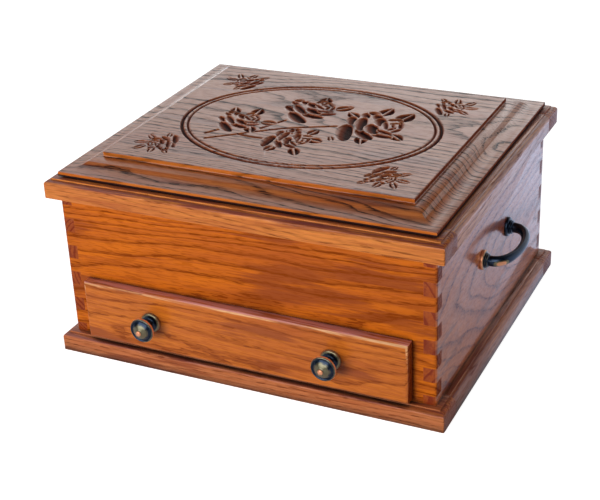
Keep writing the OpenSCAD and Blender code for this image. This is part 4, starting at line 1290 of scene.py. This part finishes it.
@dataclass
class SideHandle:
    """A bronze handle: two turned feet and an arched bow that thins towards its middle."""

    node: str
    span: float = 76.2 * MM
    reach: float = 30.5 * MM
    leg_radius: float = 5.1 * MM
    middle_radius: float = 3.9 * MM
    stub: float = 6.2 * MM
    section_points: int = 28
    bow_points: int = 41
    near_wear: float = 1.0
    far_wear: float = 0.12
    foot: tuple[Point, ...] = (
        (0.0, 0.0, 0.0), (9.7, 0.0, 0.9), (9.7, 2.0, 1.0), (8.9, 3.0, 0.6), (7.4, 3.1, 0.0),
        (6.9, 3.4, 0.0), (7.3, 3.9, 0.15), (7.3, 4.5, 0.2), (6.4, 4.8, 0.0), (6.2, 5.1, 0.0),
        (6.7, 5.5, 0.15), (6.7, 6.1, 0.25), (5.6, 6.4, 0.0), (5.2, 6.9, 0.0), (0.0, 7.0, 0.0),
    )

    def bow_tree(self) -> bpy.types.NodeTree:
        """Builds the tree that sweeps a round section along the bow's line.

        Returns:
            The tree.
        """
        g, given = geometry_tree("handle_bow", {
            "Leg radius": ("NodeSocketFloat", self.leg_radius),
            "Middle radius": ("NodeSocketFloat", self.middle_radius),
            "Section points": ("NodeSocketInt", self.section_points),
            "Side": ("NodeSocketFloat", 1.0),
        })
        where = g.node("GeometryNodeSplineParameter").outputs["Factor"]
        share = g.span(g.math("ABSOLUTE", g.line(where, 2.0, -1.0)), 0.15, 0.85)
        gain = g.math("SUBTRACT", given.outputs["Leg radius"], given.outputs["Middle radius"])
        radius = g.line(gain, share, given.outputs["Middle radius"])
        section = {"Resolution": given.outputs["Section points"], "Radius": 1.0}
        ring = g.node("GeometryNodeCurvePrimitiveCircle", section)
        curve = g.node("GeometryNodeSetCurveRadius", {"Curve": given.outputs["Geometry"], "Radius": radius})
        kept = g.node("GeometryNodeCaptureAttribute", {"Geometry": curve.outputs[0]})
        kept.capture_items.new("FLOAT", "Middle")
        g.feed(kept.inputs["Middle"], g.span(g.math("ABSOLUTE", g.line(where, 2.0, -0.31)), 0.15, 0.03))
        sweep = g.node("GeometryNodeCurveToMesh", {
            "Curve": kept.outputs["Geometry"], "Profile Curve": ring.outputs["Curve"], "Scale": radius,
            "Fill Caps": True})
        wear_and_highlight = g.node("ShaderNodeCombineXYZ", {0: g.times(given.outputs["Side"], 0.70), 1: -0.60, 2: -0.25})
        normal = g.node("GeometryNodeInputNormal").outputs["Normal"]
        outward = g.span(g.vector("DOT_PRODUCT", normal, wear_and_highlight.outputs[0]), 0.60, 0.92, 0.0, 0.95)
        wear = g.times(kept.outputs["Middle"], outward)
        worn = {"Geometry": sweep.outputs[0], "Name": "wear", "Value": wear}
        marked = g.node("GeometryNodeStoreNamedAttribute", worn, data_type="FLOAT", domain="POINT")
        smooth = g.node("GeometryNodeSetShadeSmooth", {0: marked.outputs[0]})
        return finished_tree(g, given, smooth.outputs[0])

    def bow_line(self, side: float, base: float, height: float) -> bpy.types.Object:
        """Draws the bow's middle line, straight out of each foot and then half of an oval.

        Args:
            side: 1 for the right handle and -1 for the left one.
            base: The place of the case's side along X.
            height: The height of the handle.

        Returns:
            The curve.
        """
        half = self.span / 2.0
        deep = self.reach - self.middle_radius - self.stub
        points = [(0.0, -half), (self.stub * 0.5, -half)]
        points += [(self.stub + deep * math.sin(a) ** 0.8, -half * math.cos(a))
                   for a in np.linspace(0.0, math.pi, self.bow_points)]
        points += [(self.stub * 0.5, half), (0.0, half)]
        curve = bpy.data.curves.new("bow_line", "CURVE")
        curve.dimensions = "3D"
        spline = curve.splines.new("POLY")
        spline.points.add(len(points) - 1)
        for spot, (out, along) in zip(spline.points, points):
            spot.co = (base + side * out, along, height, 1.0)
        return added("bow_line", curve)

    def build(self, finish: bpy.types.Material, tree: bpy.types.NodeTree) -> bpy.types.Object:
        """Makes the handle in the place of its solid.

        Args:
            finish: The handle's finish.
            tree: The tree that sweeps the bow.

        Returns:
            The feet and the bow, in one mesh.
        """
        low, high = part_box(self.node)
        side = 1.0 if high.x > 0.0 else -1.0
        base = low.x if side > 0.0 else high.x
        height = (low.z + high.z) / 2.0
        line = self.bow_line(side, base, height)
        bow = grown(line, tree, {"Finish": finish, "Side": side}, f"{self.node}_cast")
        profile, wear = smooth_profile(self.foot)
        joined = bmesh.new()
        joined.from_mesh(bow.data)
        for y, share in ((-self.span / 2.0, self.near_wear), (self.span / 2.0, self.far_wear)):
            foot = lathe("foot", profile, [share * w for w in wear])
            turn = Matrix.Rotation(math.radians(90.0 * side), 4, "Y")
            foot.transform(Matrix.Translation((base, y, height)) @ turn)
            joined.from_mesh(foot)
            bpy.data.meshes.remove(foot)
        joined.to_mesh(bow.data)
        joined.free()
        bow.data.materials.clear()
        bow.data.materials.append(finish)
        return bow


class Head(Enum):
    """The form of a screw's head."""

    COUNTERSUNK = "countersunk"
    CYLINDER = "cylinder"


class Facing(Enum):
    """Which way the heads of a set of screws face."""

    UP = (0.0, 0.0, 1.0)
    DOWN = (0.0, 0.0, -1.0)
    BACK = (0.0, 1.0, 0.0)


@dataclass(frozen=True)
class Screw:
    """A slotted screw around Z, its head's top at height 0 and its shank below."""

    head: Head
    head_radius: float
    head_height: float
    shank_radius: float
    length: float
    steps: int = 20
    upward: float = 0.9
    cut_within: float = 1e-7

    def mesh(self) -> bpy.types.Mesh:
        """Turns the screw and cuts its slot.

        Returns:
            The screw.
        """
        r, h, shank = self.head_radius, self.head_height, self.shank_radius
        slot_depth, slot_half = 0.45 * h, 0.13 * r
        rim = [(0.0, -self.length), (0.35 * shank, -self.length), (shank, -self.length + 2.0 * MM)]
        rim += [(shank, -h)]
        rim += [(r, -0.12 * h)] if self.head is Head.COUNTERSUNK else [(r, -h), (r, -0.35 * h)]
        rim += [(0.93 * r, 0.0), (0.0, 0.0)]
        mesh = lathe("screw", rim, [0.0] * len(rim), self.steps)
        work = bmesh.new()
        work.from_mesh(mesh)
        for offset in (-slot_half, slot_half):
            top = [f for f in work.faces if f.normal.z > self.upward]
            parts = [*top, *(e for f in top for e in f.edges), *(v for f in top for v in f.verts)]
            bmesh.ops.bisect_plane(work, geom=list(dict.fromkeys(parts)), plane_co=(0.0, offset, 0.0),
                                   plane_no=(0.0, 1.0, 0.0), dist=self.cut_within)
        groove = [f for f in work.faces
                  if f.normal.z > self.upward and abs(f.calc_center_median().y) < slot_half * 0.99]
        sunk = bmesh.ops.extrude_face_region(work, geom=groove)
        bmesh.ops.delete(work, geom=groove, context="FACES_ONLY")
        for vert in (v for v in sunk["geom"] if isinstance(v, bmesh.types.BMVert)):
            vert.co.z -= slot_depth
        bmesh.ops.recalc_face_normals(work, faces=work.faces)
        work.to_mesh(mesh)
        work.free()
        return mesh


@dataclass(frozen=True)
class ScrewSet:
    """The screws of one node, all alike and facing one way."""

    node: str
    body: str
    screw: Screw
    facing: Facing

    @staticmethod
    def tree() -> bpy.types.NodeTree:
        """Builds the tree that puts a screw on every point, each turned by chance.

        Returns:
            The tree.
        """
        g, given = geometry_tree("screw_row", {
            "Screw": ("NodeSocketObject", None),
            "Facing": ("NodeSocketRotation", None),
            "Seed": ("NodeSocketInt", 7),
        })
        part = g.node("GeometryNodeObjectInfo", {"Object": given.outputs["Screw"]})
        chance = {"Max": math.tau, "Seed": given.outputs["Seed"]}
        spin = g.node("FunctionNodeRandomValue", chance, data_type="FLOAT").outputs["Value"]
        about = g.node("FunctionNodeAxisAngleToRotation", {"Axis": (0.0, 0.0, 1.0), "Angle": spin}).outputs[0]
        turn = {"Rotation": given.outputs["Facing"], "Rotate By": about}
        turned = g.node("FunctionNodeRotateRotation", turn, rotation_space="LOCAL").outputs[0]
        placed = g.node("GeometryNodeInstanceOnPoints", {
            "Points": given.outputs["Geometry"], "Instance": part.outputs["Geometry"], "Rotation": turned})
        return finished_tree(g, given, placed.outputs[0])

    def places(self) -> list[Vector]:
        """Finds the screws among the loose solids of their node.

        Returns:
            The middle of each screw's head, in a fixed order.
        """
        work = bmesh.new()
        work.from_mesh(bpy.data.objects[self.node].data)
        bmesh.ops.remove_doubles(work, verts=work.verts, dist=WELD)
        left, found = set(work.verts), []
        out = Vector(self.facing.value)
        while left:
            island, edge = [], [left.pop()]
            while edge:
                vert = edge.pop()
                island.append(vert.co.copy())
                for other in (e.other_vert(vert) for e in vert.link_edges):
                    if other in left:
                        left.remove(other)
                        edge.append(other)
            middle = Vector([(min(v[k] for v in island) + max(v[k] for v in island)) / 2.0 for k in range(3)])
            top = max(v.dot(out) for v in island)
            found.append(middle + out * (top - middle.dot(out)))
        work.free()
        return sorted(found, key=tuple)

    def build(self, finish: bpy.types.Material, tree: bpy.types.NodeTree) -> bpy.types.Object:
        """Makes all the screws of the node.

        Args:
            finish: The screws' finish.
            tree: The tree that puts a screw on every point.

        Returns:
            The screws, in one mesh.
        """
        screw = added("screw", self.screw.mesh())
        points = bpy.data.meshes.new("screw_points")
        points.from_pydata([tuple(p) for p in self.places()], [], [])
        facing = Vector(self.facing.value).to_track_quat("Z", "Y").to_euler()
        values = {"Screw": screw, "Facing": facing, "Finish": finish}
        made = grown(added("screw_points", points), tree, values, f"{self.node}_slotted")
        bpy.data.objects.remove(screw)
        return made


@dataclass
class FeltSheet:
    """A piece of felt glued down flat, its edges rounded and its face a little uneven."""

    name: str
    node: str
    body: str
    low: Vector
    high: Vector
    rests_on: str
    seed: int
    step: float = 3.0 * MM
    uneven: float = 0.04 * MM
    edge_width: float = 0.9 * MM
    edge_drop: float = 0.35 * MM

    def build(self, finish: bpy.types.Material) -> bpy.types.Object:
        """Makes the sheet as a closed slab inside its solid's box.

        Args:
            finish: The felt.

        Returns:
            The sheet.
        """
        size = self.high - self.low
        counts = [max(6, round(size[k] / self.step)) for k in range(2)]
        x, y = (np.linspace(self.low[k], self.high[k], counts[k] + 1) for k in range(2))
        across, up = np.meshgrid(x, y, indexing="ij")
        chance = np.random.default_rng(self.seed)
        waves = sum(
            chance.uniform(0.2, 1.0) * np.sin(fx * across + fy * up + p)
            for fx, fy, p in zip(chance.uniform(-60, 60, 6), chance.uniform(-60, 60, 6),
                                 chance.uniform(0, 6.28, 6))
        )
        edge = np.minimum(np.minimum(across - self.low.x, self.high.x - across),
                          np.minimum(up - self.low.y, self.high.y - up))
        round_off = self.edge_drop * (1.0 - eased(edge / self.edge_width))
        top = self.high.z - self.uneven * (1.0 + waves / 4.0) - round_off
        number = np.arange(across.size).reshape(across.shape)
        upper = np.stack([across, up, top], -1).reshape(-1, 3)
        lower = np.stack([across, up, np.full(across.shape, self.low.z)], -1).reshape(-1, 3)
        around = [number[:-1, :-1], number[1:, :-1], number[1:, 1:], number[:-1, 1:]]
        quads = np.stack(around, -1).reshape(-1, 4)
        faces = quads.tolist() + (quads[:, ::-1] + across.size).tolist()
        rim = np.concatenate([number[:-1, 0], number[-1, :-1], number[:0:-1, -1], number[0, :0:-1]])
        for a, b in zip(rim, np.roll(rim, -1)):
            faces.append([int(b), int(a), int(a) + across.size, int(b) + across.size])
        mesh = shaded_mesh(self.name, np.concatenate([upper, lower]).tolist(), faces, TURNED_EDGE)
        mesh.materials.append(finish)
        felt = added(self.name, mesh)
        return felt


@dataclass
class Dresser:
    """Gives every solid of the chest its finish, and puts the modelled pieces in their places."""

    frame: dict
    ease: float = 0.45 * MM
    board_ease: float = 0.3 * MM
    flat_angle: float = 0.5
    sharp_angle: float = 40.0
    smooth_angle: float = 35.0
    shortest_edge: float = 3.5 * MM
    felt_margin: float = 0.8 * MM

    def __post_init__(self) -> None:
        """Builds the finishes that the pieces share."""
        self.bronze = BronzeFinish().build()
        self.brass = MetalFinish("aged_brass", (0.60, 0.42, 0.17), (0.34, 0.22, 0.08), 0.34).build()
        self.steel = MetalFinish("zinc_steel", (0.56, 0.56, 0.55), (0.40, 0.40, 0.39), 0.36).build()
        self.felt = FeltFinish().build()
        inner = {"body": (0.42, 0.20, 0.075), "line": (0.17, 0.07, 0.03), "stain": (0.33, 0.14, 0.05),
                 "end_grain": (0.2, 0.08, 0.03), "ring": 3.8 * MM, "coat": 0.1, "roughness": 0.5}
        across = OakFinish("inner_oak_across", Grain.X, (0.0, 0.03, -0.12), (0.0, 1.0, 2.0), **inner)
        deep = OakFinish("inner_oak_deep", Grain.Y, (0.02, 0.0, -0.10), (1.5, 0.0, 1.0), **inner)
        self.inner_x, self.inner_y = across.build(), deep.build()

    def place(self, piece: bpy.types.Object, body: str, slot: str, *nodes: str) -> bpy.types.Object:
        """Fixes a piece to its body, in place of the solids it stands for.

        Args:
            piece: The piece.
            body: The body that it moves with.
            slot: Its material slot; not used.
            nodes: The solids that it stands for.

        Returns:
            The piece.
        """
        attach(piece, body)
        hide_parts(*nodes)
        LOG.info("%s rides on %s and stands for %s", piece.name, body, ", ".join(nodes))
        return piece

    def body_of(self, node: str) -> str:
        """Returns the body that a node belongs to."""
        bodies = self.frame["record"]["behaviour"]["bodies"]
        return next(body for body, members in bodies.items() if node in members)

    def slot_of(self, node: str) -> str:
        """Returns the material slot that the record gives a node."""
        return next(s["material_slot"] for s in self.frame["record"]["subparts"] if s["node"] == node)

    def coat(self, finish: bpy.types.Material, *nodes: str) -> None:
        """Gives solids that stay a finish.

        Args:
            finish: The finish.
            nodes: The solids.
        """
        for node in nodes:
            mesh = self.frame["nodes"][node].data
            mesh.materials.clear()
            mesh.materials.append(finish)
            LOG.info("%s stays, in %s", node, finish.name)

    def ease_board(self, node: str, finish: bpy.types.Material, ease: float | None = None,
                   front: float | None = None) -> None:
        """Makes a board with its arrises eased, in the place of its solid.

        Args:
            node: The board's node.
            finish: Its finish.
            ease: Width of the eased edge, or the usual one.
            front: Width of the rounding around the face that looks forward, where it is a wider one.
        """
        work = bmesh.new()
        work.from_mesh(self.frame["nodes"][node].data)
        bmesh.ops.remove_doubles(work, verts=work.verts, dist=WELD)
        flat = math.radians(self.flat_angle)
        bmesh.ops.dissolve_limit(work, angle_limit=flat, verts=work.verts, edges=work.edges)
        nearest = min(v.co.y for v in work.verts) + 0.1 * MM
        for width, segments, limit in ((front, 4, nearest), (ease or self.ease, 2, math.inf)):
            if width is None:
                continue
            sharp = [e for e in work.edges
                     if len(e.link_faces) == 2 and e.calc_face_angle(0.0) > math.radians(self.sharp_angle)
                     and e.calc_length() > self.shortest_edge and max(v.co.y for v in e.verts) < limit]
            bmesh.ops.bevel(work, geom=sharp, offset=width, segments=segments, profile=0.5, affect="EDGES",
                            clamp_overlap=True)
        mesh = bpy.data.meshes.new(f"{node}_eased")
        work.to_mesh(mesh)
        work.free()
        mesh.shade_smooth()
        mesh.set_sharp_from_angle(angle=math.radians(self.smooth_angle))
        mesh.materials.append(finish)
        self.place(added(f"{node}_eased", mesh), self.body_of(node), self.slot_of(node), node)

    def dress_case(self) -> None:
        """Dresses the case, its plinth and the strips and panels inside."""
        boards = {
            "case_front": OakFinish(
                "front_oak", Grain.X, (0.0, -0.105, 0.088), (0.0, 1.4, 1.0), ring=5.6 * MM, sway=8.0 * MM,
                body=(0.52, 0.120, 0.004), line=(0.20, 0.036, 0.003), faintest_year=0.7, flame_from=0.672,
                pore_share=0.36, line_strength=1.0, coat=0.12, gloss=0.12),
            "case_back": OakFinish("back_oak", Grain.X, (0.0, 0.11, 0.10), (0.0, -1.0, 2.2)),
            "case_left_side": OakFinish(
                "left_side_oak", Grain.Y, (-0.14, 0.0, 0.105), (-2.0, 0.0, -3.0), sway=12.0 * MM, coat=0.8,
                end_dulls=0.65),
            # This side's grain lines are tinted lilac as painted sheen, the cool reflection that this side
            # shows.
            "case_right_side": OakFinish(
                "right_side_oak", Grain.Y, (0.145, 0.0, 0.085), (3.0, 0.0, 12.0), ring=8.0 * MM,
                sway=14.0 * MM, line=(0.12, 0.032, 0.045), line_strength=0.75, pore_share=0.14,
                faintest_year=0.45, coat=1.0, line_dulls=0.45, end_dulls=0.65),
        }
        for node, finish in boards.items():
            self.ease_board(node, finish.build(), self.board_ease)
        # The rails' tone on faces that look up is painted shade, and crevice sets the reach of the painted
        # corner shade.
        plinth = {"crevice": 14.0 * MM, "ring": 3.4 * MM, "body": (0.48, 0.155, 0.05), "gloss": 0.3,
                  "line_strength": 0.8, "painted_top_share": 0.7}
        long_rail = OakFinish(
            "plinth_rail_oak", Grain.X, (0.0, -0.02, -0.16), (0.0, 0.6, 1.0), coat=0.35, **plinth)
        short_rail = OakFinish(
            "plinth_end_oak", Grain.Y, (0.05, 0.0, -0.15), (1.0, 0.0, 0.8), coat=0.8, **plinth)
        self.dress_rails("plinth", long_rail, short_rail)
        self.coat(self.inner_x, "bottom_panel", "divider_panel", "base_panel", "plinth_dowels", "lid_dowels")
        for strip in ("drawer_guide", "divider_cleat", "tray_ledge"):
            self.coat(self.inner_y, f"{strip}_left", f"{strip}_right")

    def dress_rails(self, frame: str, long_rail: OakFinish, short_rail: OakFinish) -> None:
        """Dresses the four rails of a moulded frame.

        Args:
            frame: The start of the rails' names.
            long_rail: The front and back rails' oak.
            short_rail: The oak of the rails between them.
        """
        for rail, sides in ((long_rail, ("front", "back")), (short_rail, ("left", "right"))):
            finish = rail.build()
            for side in sides:
                self.ease_board(f"{frame}_{side}_rail", finish)

    def dress_lid(self) -> None:
        """Dresses the lid's frame and puts the carved panel in its place."""
        # The rails' tone on faces that look up is painted shade, and crevice sets the reach of the painted
        # corner shade.
        frame = {"crevice": 14.0 * MM, "ring": 3.2 * MM, "body": (0.60, 0.19, 0.030), "line_strength": 0.6,
                 "painted_top_share": 0.85}
        long_rail = OakFinish(
            "lid_rail_oak", Grain.X, (0.0, 0.03, 0.02), (0.0, 0.7, -1.2), coat=0.35, gloss=0.3, **frame)
        short_rail = OakFinish("lid_end_oak", Grain.Y, (0.03, 0.0, 0.03), (-0.8, 0.0, 1.0), coat=0.8, **frame)
        self.dress_rails("lid", long_rail, short_rail)
        panel = CarvedOakFinish(
            "panel_oak", Grain.X, (0.0, 0.05, 0.09), (0.0, 2.6, 1.2), ring=5.2 * MM, sway=12.0 * MM,
            faintest_year=0.55, pore_share=0.20, body=(0.40, 0.12, 0.028), line=(0.028, 0.009, 0.006),
            line_strength=1.0, coat=1.0, coat_roughness=0.22)
        self.place(CarvedPanel().build(panel.build()), "lid", "panel_oak", "lid_panel")

    def dress_drawer(self) -> None:
        """Dresses the drawer and its knobs."""
        # The face's pale tone on faces that look up is painted sheen, its cream arris tone a painted
        # highlight, and its short crevice the reach of the painted shade in the gaps around it.
        face = OakFinish(
            "drawer_face_oak", Grain.X, (0.0, -0.125, 0.03), (0.0, -1.8, 1.0), ring=5.4 * MM,
            body=(0.53, 0.142, 0.010), line=(0.22, 0.048, 0.010), faintest_year=0.6, gloss=0.2,
            upward=(0.62, 0.27, 0.25), crevice=4.0 * MM, painted_top_share=0.95, painted_highlight_share=0.95)
        self.ease_board("drawer_face", face.build(), self.board_ease, front=2.8 * MM)
        self.coat(self.inner_x, "drawer_box_front", "drawer_box_back", "drawer_bottom")
        self.coat(self.inner_y, "drawer_left_side", "drawer_right_side")
        for node in ("knob_left", "knob_right"):
            self.place(Knob(node).build(self.bronze), "drawer", "bronze", node)

    def dress_tray(self) -> None:
        """Dresses the sliding tray."""
        self.coat(self.inner_x, "tray_front", "tray_back", "tray_bottom", "tray_long_divider")
        self.coat(self.inner_y, "tray_left_side", "tray_right_side", "tray_cross_dividers")

    def dress_metal(self) -> None:
        """Dresses the handles, the hinges and every screw."""
        bow = SideHandle("side_handle_left").bow_tree()
        for node in ("side_handle_left", "side_handle_right"):
            self.place(SideHandle(node).build(self.bronze, bow), "case", "bronze", node)
        for part in ("hinge_case_leaf", "hinge_lid_leaf", "hinge_pin"):
            self.coat(self.brass, f"{part}_left", f"{part}_right")
        self.coat(self.steel, "handle_screws")
        hinge = Screw(Head.COUNTERSUNK, 2.4 * MM, 1.1 * MM, 1.2 * MM, 12.0 * MM)
        rail = Screw(Head.CYLINDER, 3.6 * MM, 2.0 * MM, 1.75 * MM, 29.0 * MM)
        panel = Screw(Head.CYLINDER, 3.6 * MM, 2.0 * MM, 1.75 * MM, 21.0 * MM)
        knob = Screw(Head.CYLINDER, 4.0 * MM, 2.4 * MM, 2.0 * MM, 32.9 * MM)
        row = ScrewSet.tree()
        for screws, finish in (
            (ScrewSet("hinge_screws_case", "case", hinge, Facing.UP), self.brass),
            (ScrewSet("hinge_screws_lid", "lid", hinge, Facing.DOWN), self.brass),
            (ScrewSet("plinth_screws", "case", rail, Facing.DOWN), self.steel),
            (ScrewSet("lid_panel_screws", "lid", panel, Facing.DOWN), self.steel),
            (ScrewSet("knob_screws", "drawer", knob, Facing.BACK), self.steel),
        ):
            self.place(screws.build(finish, row), screws.body, self.slot_of(screws.node), screws.node)

    def lay(self, sheet: FeltSheet) -> None:
        """Lays a felt sheet in its place."""
        self.place(sheet.build(self.felt), sheet.body, "felt", sheet.node)

    def line_with_felt(self) -> None:
        """Lays a felt sheet in the compartment, in the drawer and in each cell of the tray."""
        for name, node, under in (("compartment_lining", "compartment_felt", "divider_panel"),
                                  ("drawer_lining", "drawer_felt", "drawer_bottom")):
            self.lay(FeltSheet(name, node, self.body_of(node), *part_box(node), under, 11))
        low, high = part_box("tray_felt")
        bars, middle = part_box("tray_cross_dividers"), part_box("tray_long_divider")
        thick = middle[1].y - middle[0].y
        inset = thick / 2.0 + self.felt_margin
        step = (bars[1].x - bars[0].x - thick) / 2
        edges = [low.x - self.felt_margin - thick / 2.0]
        edges += [bars[0].x + thick / 2.0 + step * i for i in range(3)]
        edges.append(high.x + self.felt_margin + thick / 2.0)
        rows = (("front", low.y, middle[0].y - self.felt_margin),
                ("back", middle[1].y + self.felt_margin, high.y))
        for column, (left, right) in enumerate(zip(edges, edges[1:])):
            for row, (label, front, back) in enumerate(rows):
                corners = Vector((left + inset, front, low.z)), Vector((right - inset, back, high.z))
                seed = 20 + 2 * column + row
                name = f"tray_lining_{column + 1}_{label}"
                self.lay(FeltSheet(name, "tray_felt", "tray", *corners, "tray_bottom", seed))


def main() -> None:
    """Builds the studio and dresses the chest."""
    logging.basicConfig(level=logging.INFO, format="%(message)s")
    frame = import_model()
    Studio().build()
    dresser = Dresser(frame)
    dresser.dress_case()
    dresser.dress_lid()
    dresser.dress_drawer()
    dresser.dress_tray()
    dresser.dress_metal()
    dresser.line_with_felt()


if __name__ == "__main__":
    main()
